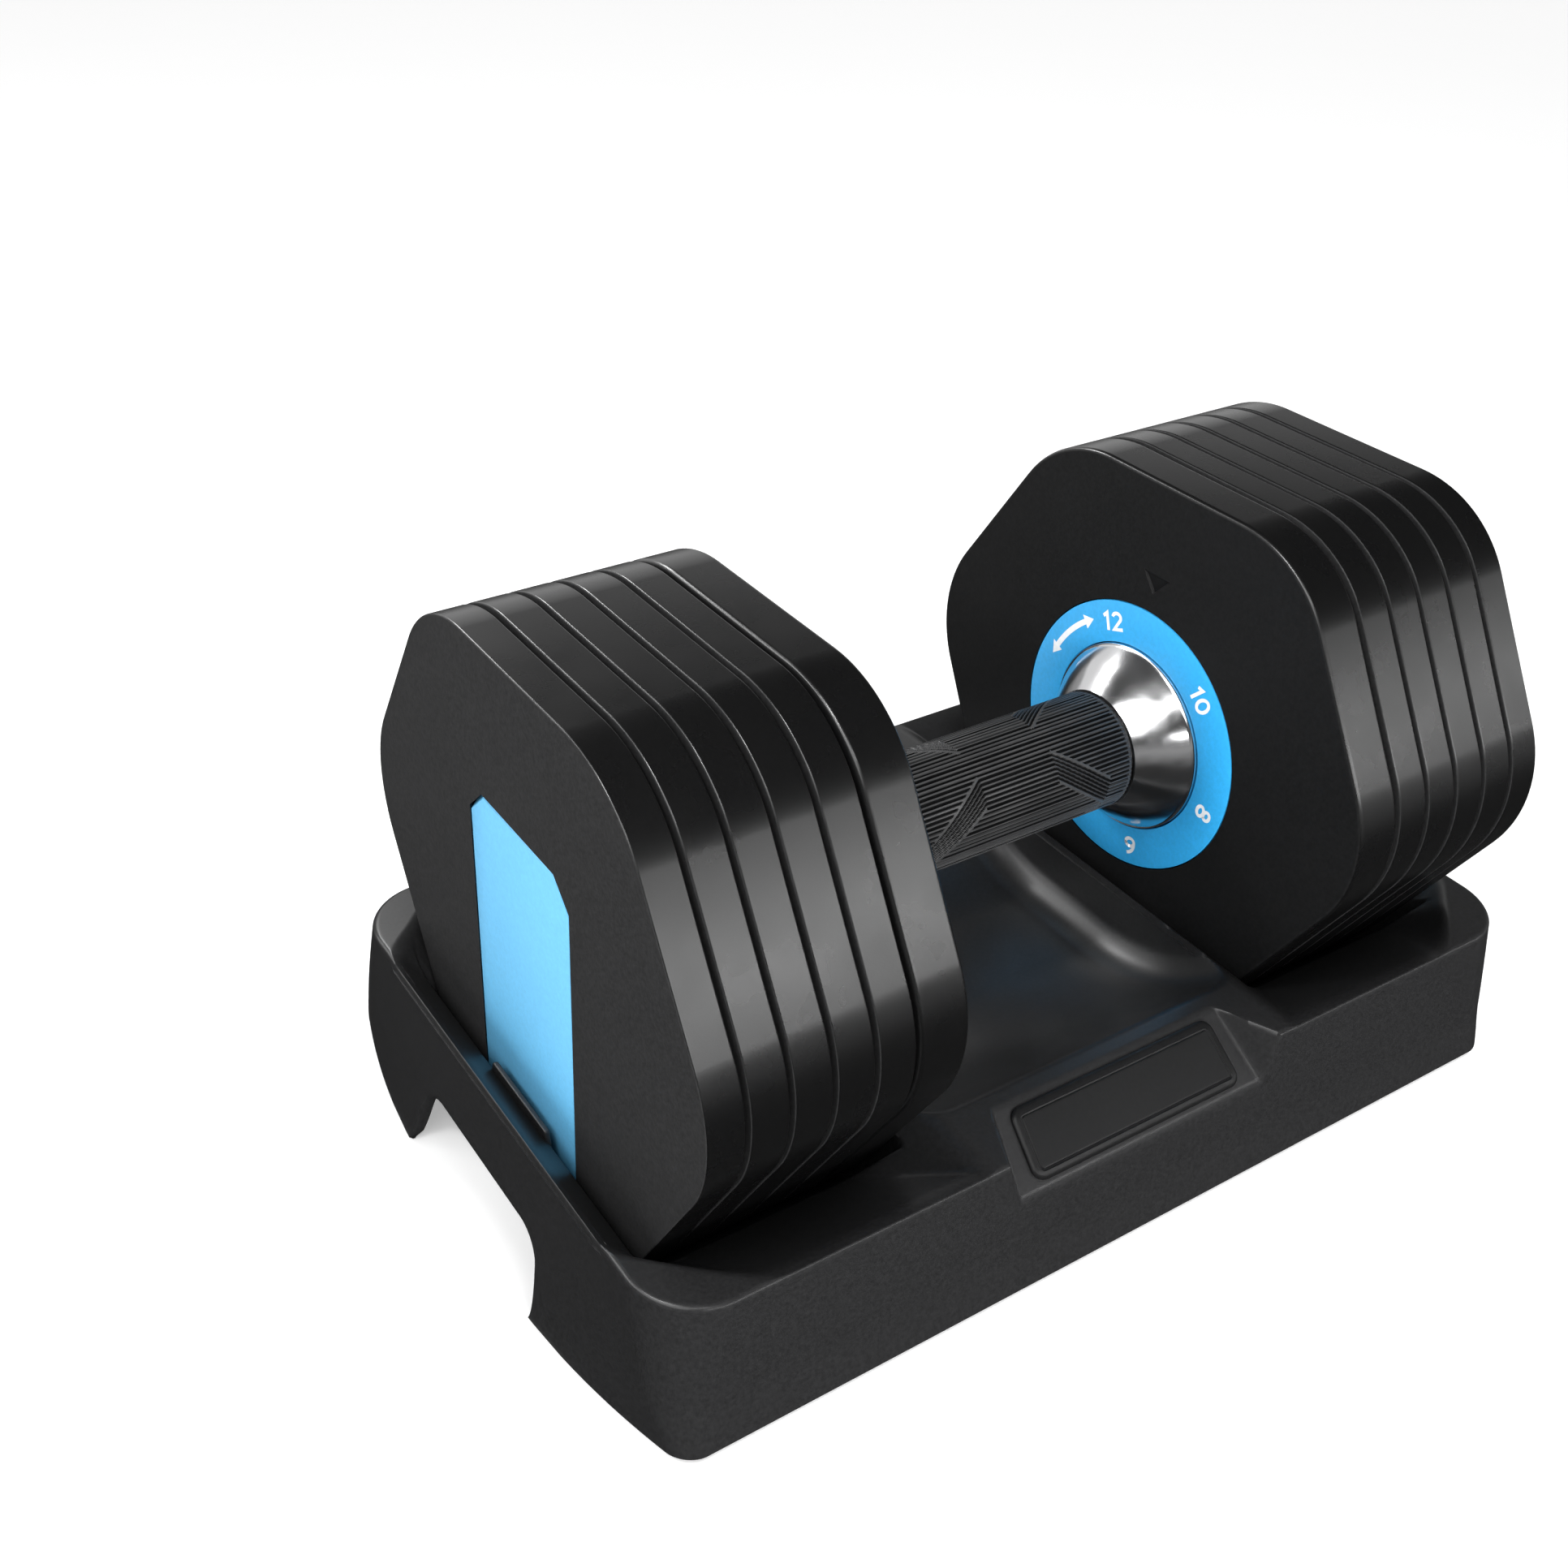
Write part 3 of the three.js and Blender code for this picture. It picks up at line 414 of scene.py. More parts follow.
# ---------------- weight plates
def slot_outline(half, top, bottom):
    """The blue strip's outline as (y, z) points: upright sides and two cut upper corners."""
    shoulder = top - SLOT_CHAMFER
    return [
        (-half, bottom),
        (half, bottom),
        (half, AXIS_Z + shoulder),
        (half - SLOT_CHAMFER, AXIS_Z + top),
        (-half + SLOT_CHAMFER, AXIS_Z + top),
        (-half, AXIS_Z + shoulder),
    ]


def wedge_tool(near, near_x, far, far_x):
    """Tool for the room between two (y, z) outlines at two values of x."""
    return make_piece("tool", *loft([at_x(near_x, near), at_x(far_x, far)]))


def slot_cutter(x):
    """Tool for the dovetail slot in an outer face at x, open at the bottom edge."""
    low = AXIS_Z - 85.0
    slope = SLOT_FLARE / SLOT_DEPTH
    near = slot_outline(SLOT_HALF - slope, SLOT_TOP, low)
    far = slot_outline(SLOT_HALF + SLOT_FLARE, SLOT_TOP + SLOT_FLARE, low)
    return wedge_tool(near, x + 1.0, far, x - SLOT_DEPTH)


def tongue():
    """The dovetail that reaches across the gap into the neighbour's slot."""
    gap, clearance = 1.5, 0.4
    depth = SLOT_DEPTH - clearance
    rise = depth * SLOT_FLARE / SLOT_DEPTH
    half, top, low = SLOT_HALF - clearance, SLOT_TOP - clearance, AXIS_Z - 73.0
    near = slot_outline(half, top, low)
    far = slot_outline(half + rise, top + rise, low)
    rings = [at_x(1.0, near), at_x(-gap, near), at_x(-gap - depth, far)]
    return make_piece("tool", *loft(rings))


def bore_tool(x0, x1, radius=BORE_RADIUS, segments=40, centre_y=0.0, centre_z=AXIS_Z):
    """Tool for a round hole along X."""
    angles = [2 * math.pi * k / segments for k in range(segments)]
    ring = [(centre_y + radius * math.sin(a), centre_z + radius * math.cos(a)) for a in angles]
    return wedge_tool(ring, x0, ring, x1)


def paint_faces(mesh):
    """Gives everything that doesn't face along the handle the second material, the rim's."""
    for polygon in mesh.polygons:
        polygon.material_index = 0 if abs(polygon.normal.x) > 0.8 else 1


def plate_shape():
    """One plate with its inner face at x = 0, as points and faces."""
    pattern = make_piece("pattern", *loft(slab_rings(hexagon, 0.0, PLATE_THICKNESS, PLATE_EDGE)))
    combine(pattern, tongue(), "UNION")
    combine(pattern, slot_cutter(PLATE_THICKNESS))
    combine(pattern, bore_tool(-9.0, PLATE_THICKNESS + 1.0))
    points = [tuple(vertex.co / MM) for vertex in pattern.data.vertices]
    faces = [tuple(polygon.vertices) for polygon in pattern.data.polygons]
    bpy.data.objects.remove(pattern, do_unlink=True)
    return points, faces


def node_reach(node):
    """How near to the middle and how far out a CAD node lies along the handle."""
    low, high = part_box(node)
    return sorted(abs(corner[0]) / MM for corner in (low, high))


def build_plates():
    points, faces = plate_shape()
    for word, side in SIDES.items():
        for number in range(1, PLATES_PER_SIDE + 1):
            node = f"plate_{word}_{number}"
            outer = node_reach(node)[1]
            moved = mirrored([(x + outer - PLATE_THICKNESS, y, z) for x, y, z in points], side)
            plate = make_piece(f"{node}_body", moved, faces, ["face", "rim"])
            paint_faces(plate.data)
            soften_faces(plate)
            finish_piece(plate, "dumbbell", "plate_paint", node)


def build_inserts():
    """Blue strips in the outermost plates' slots, with a thin shadow gap round them."""
    for word, side in SIDES.items():
        node = f"end_insert_{word}"
        back, face = node_reach(node)
        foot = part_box(node)[0][2] / MM
        edge, gap = 0.25, 0.35
        rise = (face - back) * SLOT_FLARE / SLOT_DEPTH
        shape = lambda grow: slot_outline(SLOT_HALF - gap + grow, SLOT_TOP - gap + grow, foot - grow)
        rings = [
            at_x(back, shape(rise - 0.2)),
            at_x(face - edge, shape(0.0)),
            at_x(face - edge * 0.3, shape(-edge * 0.35)),
            at_x(face, shape(-edge)),
        ]
        points, faces = loft(rings)
        strip = make_piece(f"{node}_strip", mirrored(points, side), faces, ["insert"], 50.0)
        finish_piece(strip, "dumbbell", "insert_blue", node)


# ---------------- fixed inner plates
def pointer_tool():
    """Tool for the shallow triangle above the dial, its floor smaller than its mouth."""
    top, point, half = AXIS_Z + POINTER_TOP, AXIS_Z + POINTER_POINT, POINTER_HALF
    mouth = [(0.0, point), (half, top), (-half, top)]
    floor = [(0.0, point + 1.1), (half - 1.0, top - 0.6), (-half + 1.0, top - 0.6)]
    deep, shallow = HOUSING_INNER + 0.7, HOUSING_INNER - 0.5
    return wedge_tool(mouth, shallow, floor, deep)


def paint_pointer(mesh):
    """Gives the pointer's triangle the third material, a smoother plastic."""
    around = 0.8
    for polygon in mesh.polygons:
        x, y, z = polygon.center / MM
        inside = abs(y) < POINTER_HALF + around
        inside = inside and POINTER_POINT - around < z - AXIS_Z < POINTER_TOP + around
        if inside and HOUSING_INNER + 0.02 < abs(x) < HOUSING_INNER + 1:
            polygon.material_index = 2


def build_housings():
    """The fixed inner plates, open at the back for the cover and hollow round the dial's lock ring."""
    cavity_back, web_back, cover_inset = 67.6, 70.8, 6.7
    tube_radius, hole_radius, hole_sides = 11.3, 2.3, 16
    screw_radius, screw_angles, detent_height = 54.0, (30, 150, 210, 330), 31
    pin_half, pin_foot, pin_head = 4.4, AXIS_Z - 78, AXIS_Z - 18.6
    pin_slot = [(-pin_half, pin_foot), (pin_half, pin_foot), (pin_half, pin_head), (-pin_half, pin_head)]
    coats = ["housing", "rim", "plaque"]
    for word, side in SIDES.items():
        node = f"housing_{word}"
        rings = slab_rings(hexagon, HOUSING_INNER, HOUSING_OUTER, 1.2, 5)
        body = make_piece(f"{node}_body", *loft(rings), coats)
        room = hexagon(-cover_inset)
        combine(body, bore_tool(HOUSING_INNER - 1, cavity_back, DIAL_OUTER + 0.35, 96))
        combine(body, wedge_tool(room, web_back, room, HOUSING_OUTER + 1))
        combine(body, bore_tool(cavity_back - 1, web_back + 1, tube_radius))
        combine(body, pointer_tool())
        for degrees in screw_angles:
            angle = math.radians(degrees)
            place = (screw_radius * math.cos(angle), AXIS_Z + screw_radius * math.sin(angle))
            hole = bore_tool(cavity_back - 1.2, web_back + 1, hole_radius, hole_sides, *place)
            combine(body, hole)
        place = (0.0, AXIS_Z + detent_height)
        hole = bore_tool(cavity_back - 1, web_back + 1, hole_radius, hole_sides, *place)
        combine(body, hole)
        combine(body, wedge_tool(pin_slot, cavity_back - 1, pin_slot, web_back + 0.1))
        combine(body, slot_cutter(HOUSING_OUTER))
        for vertex in body.data.vertices:
            vertex.co.x *= side
        tidy_mesh(body.data, 34.0)
        paint_faces(body.data)
        paint_pointer(body.data)
        soften_faces(body)
        finish_piece(body, "dumbbell", "housing_plastic", node)


# ---------------- handle
def groove_height(x, around):
    """How deep the grip's pattern is, 0 to 1, at x and at an arc length from the top to the front.

    Straight grooves run along the grip, and four bundles of them step sideways in trapezoid waves."""
    circumference = 2 * math.pi * GRIP_RADIUS
    pitch = circumference / GROOVES_AROUND
    bundle, border_half = 3 * pitch, 0.35 * pitch
    middle, flat, run, step = 10.7, 25.0, 18.5, 10 * pitch
    phase = np.mod(x - middle + flat / 2, 2 * (flat + run))
    down = np.clip((phase - flat) / run, 0, 1)
    back = np.clip((phase - 2 * flat - run) / run, 0, 1)
    moved = (down - back) * step
    slanted = (down - back > 0) & (down - back < 1)
    depth = groove_profile(around / pitch)
    for start, turn in ((11.5, 1), (51.5, 1), (-1.5, -1), (-41.5, -1)):
        centre = start * pitch + turn * moved
        across = np.mod(around - centre + circumference / 2, circumference) - circumference / 2
        inside = np.abs(across) < bundle
        border = np.abs(np.abs(across) - bundle - border_half) < border_half
        depth = np.where(inside, groove_profile(across / pitch + 0.5), depth)
        depth = np.where(border & slanted, 0.0, depth)
    return depth


def groove_profile(line):
    """A rounded groove at each whole number."""
    distance = np.abs(line - np.round(line))
    return np.sqrt(np.clip(1 - (distance / GROOVE_HALF) ** 2, 0, None))


def build_grip():
    """The grooved sleeve, its grooves fading out at both ends, as one closed skin."""
    rows, columns = 270, 700
    end_round, fade_length, wall = 0.9, 2.0, 2.1
    length = np.linspace(-GRIP_HALF, GRIP_HALF, rows)
    angle = np.linspace(0, 2 * math.pi, columns, endpoint=False)
    x, turn = np.meshgrid(length, angle, indexing="ij")
    from_end = np.clip((GRIP_HALF - np.abs(x)) / end_round, 0, 1)
    shoulder = end_round * (1 - np.sqrt(1 - (1 - from_end) ** 2))
    fade = np.clip((GRIP_HALF - np.abs(x)) / fade_length, 0, 1)
    groove = GROOVE_DEPTH * groove_height(x, turn * GRIP_RADIUS) * fade
    radius = GRIP_RADIUS - 0.05 - shoulder - groove     # just inside the CAD sleeve
    skin = np.stack([x, -radius * np.sin(turn), AXIS_Z + radius * np.cos(turn)], axis=-1)
    points = [tuple(point) for point in skin.reshape(-1, 3)]
    faces = []
    for row in range(rows - 1):
        faces += band(row * columns, (row + 1) * columns, columns)
    inner = GRIP_RADIUS - wall
    for row in (0, rows - 1):
        faces += band(row * columns, len(points), columns)
        points += [(length[row], -inner * math.sin(a), AXIS_Z + inner * math.cos(a)) for a in angle]
    faces += band(rows * columns, (rows + 1) * columns, columns)
    grip = make_piece("grip_ribbed_sleeve", points, faces, ["grip", "groove"], 60.0)
    # faces deeper in the grooves than this get the second material, painted shade
    painted_shade_depth, plain_end = 0.35, 1.2
    for polygon in grip.data.polygons:
        x, y, z = polygon.center / MM
        low = math.hypot(y, z - AXIS_Z) < GRIP_RADIUS - painted_shade_depth
        if low and abs(x) < GRIP_HALF - plain_end:
            polygon.material_index = 1
    finish_piece(grip, "handle", "grip_rubber", "grip_sleeve")


def hub_profile():
    """The collar's half section: nearly a cone, with a bright rim where it meets the dial."""
    bore, nose_x, nose_r = 14.9, 50.4, 17.3
    dome_x, dome_r = 62.3, 27.2
    rim_r, rim_x, back_x = 27.8, 62.3, 64.8
    start, end = math.radians(47), math.radians(38)
    steps = 24
    arc = [(0.0, 0.0)]      # (radius, x) on the cone, which steepens a little towards the rim
    for k in range(steps):
        angle = start + (end - start) * (k + 0.5) / steps
        arc.append((arc[-1][0] + math.sin(angle), arc[-1][1] + math.cos(angle)))
    profile = [(bore, nose_x + 0.5)]
    for radius, x in arc:
        profile.append((
            nose_r + radius / arc[-1][0] * (dome_r - nose_r),
            nose_x + x / arc[-1][1] * (dome_x - nose_x),
        ))
    profile += [(dome_r + 0.15, rim_x + 0.1), (rim_r - 0.3, rim_x + 0.05), (rim_r - 0.1, rim_x + 0.15)]
    profile += [(rim_r, rim_x + 0.5), (rim_r, back_x), (bore, back_x)]
    return profile


def build_hubs():
    """The two chrome collars."""
    for word, side in SIDES.items():
        points, faces = turned(hub_profile(), 128)
        hub = make_piece(f"hub_{word}_dome", mirrored(points, side), faces, ["chrome"], 40.0)
        finish_piece(hub, "handle", "hub_chrome", f"hub_{word}")


def dial_profile():
    """The ring's section with eased edges, and the lock ring behind it."""
    face, back, ring_back = DIAL_FACE, 65.1, 67.2
    inner, outer, ease = DIAL_INNER, DIAL_OUTER, 0.35
    ring_inner, ring_outer = 34.5, 39.5
    return [
        (inner, face + ease), (inner + ease * 0.3, face + ease * 0.3), (inner + ease, face),
        (outer - ease, face), (outer - ease * 0.3, face + ease * 0.3), (outer, face + ease),
        (outer, back), (ring_outer, back), (ring_outer, ring_back),
        (ring_inner, ring_back), (ring_inner, back), (inner, back),
    ]


def arc_points(centre_u, centre_v, radius_u, radius_v, start, end, steps):
    """Points of an elliptical arc, its angles in degrees anticlockwise from the right."""
    angles = [math.radians(start + (end - start) * k / steps) for k in range(steps + 1)]
    return [(centre_u + radius_u * math.cos(a), centre_v + radius_v * math.sin(a)) for a in angles]


def figure_strokes():
    """The dial's figures as centre lines in a box 1 high, with each figure's width."""
    two = arc_points(0.31, 0.69, 0.24, 0.24, 165, -35, 14) + [(0.10, 0.07), (0.60, 0.07)]
    four = [(0.62, 0.26), (0.07, 0.26), (0.43, 0.93), (0.43, 0.0)]
    stem = arc_points(0.60, 0.30, 0.53, 0.63, 95, 180, 10)
    return {
        "0": ([arc_points(0.32, 0.5, 0.25, 0.43, 90, 450, 30)], 0.64),
        "1": ([[(0.04, 0.76), (0.27, 0.93), (0.27, 0.0)]], 0.40),
        "2": ([two], 0.64),
        "4": ([four], 0.68),
        "6": ([arc_points(0.32, 0.30, 0.25, 0.23, 90, 450, 26), stem], 0.64),
        "8": ([arc_points(0.32, 0.28, 0.25, 0.21, 90, 450, 24),
               arc_points(0.32, 0.73, 0.21, 0.20, 270, 630, 24)], 0.64),
    }


def stroke_quads(line, half):
    """Four-cornered pieces of a stroke of even width along a centre line, its joints mitred."""
    closed = math.dist(line[0], line[-1]) < 1e-6
    points = line[:-1] if closed else line
    count = len(points)
    sides = []
    for i, (u, v) in enumerate(points):
        before = points[i - 1] if closed or i else None
        after = points[(i + 1) % count] if closed or i < count - 1 else None
        runs = [Vector((u - before[0], v - before[1])).normalized()] if before else []
        runs += [Vector((after[0] - u, after[1] - v)).normalized()] if after else []
        normals = [Vector((-run.y, run.x)) for run in runs]
        mitre = sum(normals, Vector((0, 0))).normalized()
        reach = half / max(mitre.dot(normals[0]), 0.45)
        sides.append((Vector((u, v)) + mitre * reach, Vector((u, v)) - mitre * reach))
    ends = range(count) if closed else range(count - 1)
    return [(*sides[i], sides[(i + 1) % count][1], sides[(i + 1) % count][0]) for i in ends]


def build_figure(text, side, word, degrees):
    """One white number of the dial, its top pointing outwards."""
    height, width_scale, half_stroke, spacing = 5.5, 6.6, 0.52, 0.75
    strokes = figure_strokes()
    widths = [strokes[letter][1] * width_scale for letter in text]
    total = sum(widths) + spacing * (len(text) - 1)
    angle = math.radians(degrees)
    top = Vector((0, math.sin(angle), math.cos(angle)))
    right = top.cross(Vector((-side, 0, 0)))
    centre = Vector((0, 0, AXIS_Z)) + top * MARK_RADIUS
    points = []
    faces = []
    start = -total / 2
    for letter, width in zip(text, widths):
        for layer, line in enumerate(strokes[letter][0]):
            proud = 0.04 + 0.03 * layer     # a second stroke stands over the first
            scaled = [(start + u * width_scale, (v - 0.5) * height) for u, v in line]
            for quad in stroke_quads(scaled, half_stroke):
                first = len(points)
                places = [centre + right * u + top * v for u, v in quad]
                for x in (DIAL_FACE - proud, DIAL_FACE + 0.02):
                    points += [(side * x, place.y, place.z) for place in places]
                faces.append(tuple(range(first, first + 4)))
                faces += band(first, first + 4, 4)[::2]
        start += width + spacing
    figure = make_piece(f"dial_{word}_figure_{text}", points, faces, ["ink"], 30.0)
    for polygon in figure.data.polygons:
        if polygon.normal.x * side > 0.5:
            polygon.flip()
    finish_piece(figure, "handle", "dial_blue")


def arrow_outline(start, end):
    """A double-headed arrow bent round the dial, as (degrees, radius) points."""
    half_stroke, half_head, head = 0.85, 2.1, 6.0
    steps = 14
    inner_start, inner_end = start + head, end - head
    bend = [inner_start + (inner_end - inner_start) * k / steps for k in range(steps + 1)]
    outline = [(start, ARROW_RADIUS), (inner_start, ARROW_RADIUS + half_head)]
    outline += [(degrees, ARROW_RADIUS + half_stroke) for degrees in bend]
    outline += [(inner_end, ARROW_RADIUS + half_head), (end, ARROW_RADIUS)]
    outline.append((inner_end, ARROW_RADIUS - half_head))
    outline += [(degrees, ARROW_RADIUS - half_stroke) for degrees in reversed(bend)]
    outline.append((inner_start, ARROW_RADIUS - half_head))
    return outline


def build_arrow(side, word):
    """The raised white arrow that says which ways the handle turns."""
    turns = [(math.radians(degrees), radius) for degrees, radius in arrow_outline(34.0, 71.0)]
    outline = [(radius * math.sin(angle), AXIS_Z + radius * math.cos(angle)) for angle, radius in turns]
    rings = [at_x(side * x, outline) for x in (DIAL_FACE + 0.02, DIAL_FACE - 0.06)]
    arrow = make_piece(f"dial_{word}_arrow", *loft(rings), ["ink"], 30.0)
    finish_piece(arrow, "handle", "dial_blue")


def notch_tool(index):
    """Tool for one of the lock ring's six notches, which the safety pin drops into."""
    front, deep, half, turn = 65.15, 71.0, 4.8, index * math.pi / 3
    low, high = 29.5, 49.5
    section = []
    for across, out in ((-half, -low), (half, -low), (half, -high), (-half, -high)):
        y = across * math.cos(turn) - out * math.sin(turn)
        z = across * math.sin(turn) + out * math.cos(turn)
        section.append((y, AXIS_Z + z))
    return wedge_tool(section, front, section, deep)


def build_dials():
    figures = {"12": 21, "10": -44, "8": -102, "6": -162, "4": 138}
    for word, side in SIDES.items():
        points, faces = turned(dial_profile(), 144)
        ring = make_piece(f"dial_{word}_ring", points, faces, ["dial"], 30.0)
        for index in range(6):
            combine(ring, notch_tool(index))
        if side < 0:
            ring.data.transform(Matrix.Scale(-1, 4, (1, 0, 0)))
            ring.data.flip_normals()
        finish_piece(ring, "handle", "dial_blue", f"dial_{word}")
        for text, degrees in figures.items():
            build_figure(text, side, word, degrees)
        build_arrow(side, word)


# ---------------- tray
def smooth_min(a, b, blend):
    """The lower of two surfaces, with a fillet where they are less than blend apart."""
    near = np.clip(blend - np.abs(a - b), 0, None) / blend
    return np.minimum(a, b) - near * near * blend / 4


def smooth_max(a, b, blend):
    return -smooth_min(-a, -b, blend)


def hexagon_underside(across):
    """Height of the lower half of the plate pocket's outline at a distance from the middle."""
    outline = [(y, z) for y, z in hexagon(POCKET_CLEARANCE, 24) if y > 0 and z < AXIS_Z]
    outline.sort()
    ys = np.array([y for y, _ in outline])
    zs = np.array([z for _, z in outline])
    beyond = zs[-1] + (across - ys[-1]) * 2.0
    return np.where(across > ys[-1], beyond, np.interp(across, ys, zs))


def deck_height(x, y):
    """Height of the tray's upper surface.

    The last number of each smooth_max and smooth_min is the size of a fillet."""
    along, across = np.abs(x), np.abs(y)
    rise = DECK - FUNNEL_MOUTH
    long_side = FUNNEL_MOUTH + (across - FUNNEL_START) * rise / (FUNNEL_WIDTH - FUNNEL_START)
    end = DECK + (along - FUNNEL_LENGTH) * END_SLOPE
    corner = DECK + (CORNER_X * along + CORNER_Y * across - CORNER_REACH) * CORNER_SLOPE
    inner = RIM_TOP - (along - RIM_START) * RIM_SLOPE
    funnel = smooth_max(smooth_max(smooth_max(long_side, end, 8.0), corner, 7.0), inner, 2.0)
    funnel = np.maximum(funnel, POCKET_FLOOR + 2.0)     # its planes must not dent the pocket's floor
    well = np.maximum(hexagon_underside(across), POCKET_FLOOR)
    well = smooth_max(well, POCKET_FLOOR + (along - POCKET_OUTER) * WALL_SLOPE, 1.5)
    well = smooth_max(well, POCKET_FLOOR + (POCKET_INNER - along) * WALL_SLOPE, 1.5)
    height = smooth_min(np.full_like(along, DECK), smooth_min(funnel, well, 1.2), 2.6)

    past = np.clip((across - TROUGH_FLAT) / (TROUGH_LIP - TROUGH_FLAT), 0, 1.4)
    basin = TROUGH_FLOOR + (DECK - TROUGH_FLOOR) * (0.62 * past**1.7 + 0.38 * past**3)
    side = np.clip(along - (TROUGH_HALF - TROUGH_BLEND), 0, TROUGH_BLEND)
    wall = TROUGH_BLEND - np.sqrt(np.clip(TROUGH_BLEND**2 - side**2, 0, None))
    wall = wall + np.clip(along - TROUGH_HALF + 0.4, 0, None) * WALL_SLOPE
    height = smooth_min(height, basin + wall, 1.6)

    foot = DECK - (across - PANEL_TOP_Y) * PANEL_SLOPE
    foot_y, foot_z = recess_foot()
    per_y = -(PANEL_EDGE_HALF - PANEL_TOP_HALF) / (DECK_WIDTH - PANEL_TOP_Y)
    per_x = (DECK - foot_z) / (-(PANEL_FOOT_HALF - PANEL_TOP_HALF) - (foot_y - PANEL_TOP_Y) * per_y)
    flank = DECK + (along - PANEL_TOP_HALF) * per_x + (across - PANEL_TOP_Y) * per_y * per_x
    recess = smooth_max(foot, flank, 2.2)
    return smooth_min(height, recess, 0.9)


def wall_width(z):
    """Half width of the long walls at a height: straight to the band, then a flared skirt."""
    upper = DECK_WIDTH + (BAND_WIDTH - DECK_WIDTH) * (WALL_TOP - z) / (WALL_TOP - SKIRT_BAND)
    lower = BAND_WIDTH + (SKIRT_WIDTH - BAND_WIDTH) * (SKIRT_BAND - z) / (SKIRT_BAND - SKIRT_FOOT)
    return smooth_max(np.maximum(upper, DECK_WIDTH), lower, 0.5)


def wall_length(z, y):
    """Half length of the end walls: straight at the deck, bowed outwards at the foot."""
    share = np.clip((z - SKIRT_FOOT) / (WALL_TOP - SKIRT_FOOT), 0, 1) ** 0.7
    past = np.clip(np.abs(y) - BOW_START, 0, None) / (SKIRT_WIDTH - BOW_START)
    low = END_LENGTH + END_BOW * (1 - past**2)
    return DECK_LENGTH * share + low * (1 - share)


def recess_foot():
    """Where the name plate's recess meets the long wall: (half width, height)."""
    z = 30.0
    for _ in range(20):
        z = DECK - (float(wall_width(np.array(z))) - PANEL_TOP_Y) * PANEL_SLOPE
    return float(wall_width(np.array(z))), z


def arch_height(y):
    """Top of the finger arch in the end wall at a distance from the middle."""
    across = np.abs(y)
    radius, jamb_slope = 11.0, 4.5
    past = np.clip(across - ARCH_FLAT, 0, radius)
    corner = ARCH_TOP - radius + np.sqrt(np.clip(radius**2 - past**2, 0, None))
    straight = SKIRT_FOOT + (ARCH_HALF - across) * jamb_slope
    return np.clip(np.minimum(corner, straight), SKIRT_FOOT, ARCH_TOP)


def stations(*runs):
    """Grid lines from (start, end, spacing) runs, mirrored about 0."""
    half = []
    for start, end, spacing in runs:
        count = max(1, round((end - start) / spacing))
        half += [start + (end - start) * k / count for k in range(count)]
    half.append(runs[-1][1])
    return np.array([-value for value in reversed(half[1:])] + half)


def deck_grid():
    """Grid points of the deck; the outermost squares are bent round the corners."""
    edge_x, edge_y = DECK_LENGTH - DECK_EDGE, DECK_WIDTH - DECK_EDGE
    xs = stations(
        (0, 34, 1.6), (34, FLANK_IN, 0.5), (FLANK_IN, FLANK_OUT, 0.2), (FLANK_OUT, 52, 0.6), (52, 64, 0.6),
        (64, 118, 1.4), (118, 131, 0.9), (131, 135, 0.45), (135, edge_x, 0.7), (edge_x, DECK_LENGTH, 0.2),
    )
    ys = stations(
        (0, 28, 1.2), (28, 37, 0.4), (37, 56, 0.8), (56, 68.5, 0.6), (68.5, 72, 0.35),
        (72, edge_y, 0.5), (edge_y, DECK_WIDTH, 0.2),
    )
    x, y = np.meshgrid(xs, ys, indexing="ij")
    a = np.clip(np.abs(x) - STRAIGHT_X, 0, None) / DECK_CORNER
    b = np.clip(np.abs(y) - STRAIGHT_Y, 0, None) / DECK_CORNER
    bent_x = np.sign(x) * (np.minimum(np.abs(x), STRAIGHT_X) + DECK_CORNER * a * np.sqrt(1 - b**2 / 2))
    bent_y = np.sign(y) * (np.minimum(np.abs(y), STRAIGHT_Y) + DECK_CORNER * b * np.sqrt(1 - a**2 / 2))
    from_edge = DECK_CORNER - np.hypot(
        np.clip(np.abs(bent_x) - STRAIGHT_X, 0, None), np.clip(np.abs(bent_y) - STRAIGHT_Y, 0, None)
    )
    return splay(bent_x, bent_y), bent_y, from_edge


def splay(x, y):
    """Moves grid lines sideways so that two of them follow the recess's slanting flanks."""
    share = np.clip((np.abs(y) - PANEL_TOP_Y) / (DECK_WIDTH - PANEL_TOP_Y), 0, 1)
    foot = PANEL_TOP_HALF - 0.4 + (PANEL_FOOT_HALF - PANEL_TOP_HALF + 0.4) * share
    top = PANEL_TOP_HALF + 0.4 + (PANEL_EDGE_HALF - PANEL_TOP_HALF - 0.4) * share
    along = np.abs(x)
    inside = along * foot / FLANK_IN
    flank = foot + (along - FLANK_IN) * (top - foot) / FLANK_WIDTH
    outside = top + (along - FLANK_OUT) * (SPLAY_END - top) / (SPLAY_END - FLANK_OUT)
    bounds = [along < FLANK_IN, along < FLANK_OUT, along < SPLAY_END]
    moved = np.select(bounds, [inside, flank, outside], along)
    return np.sign(x) * moved


def edge_top(x):
    """Height of the long wall's upper end: lower where the recess opens through it."""
    foot_z = recess_foot()[1]
    along = np.abs(x)
    share = np.clip((along - PANEL_FOOT_HALF) / (PANEL_EDGE_HALF - PANEL_FOOT_HALF), 0, 1)
    return np.where(along < PANEL_EDGE_HALF, foot_z + (DECK - foot_z) * share, WALL_TOP)


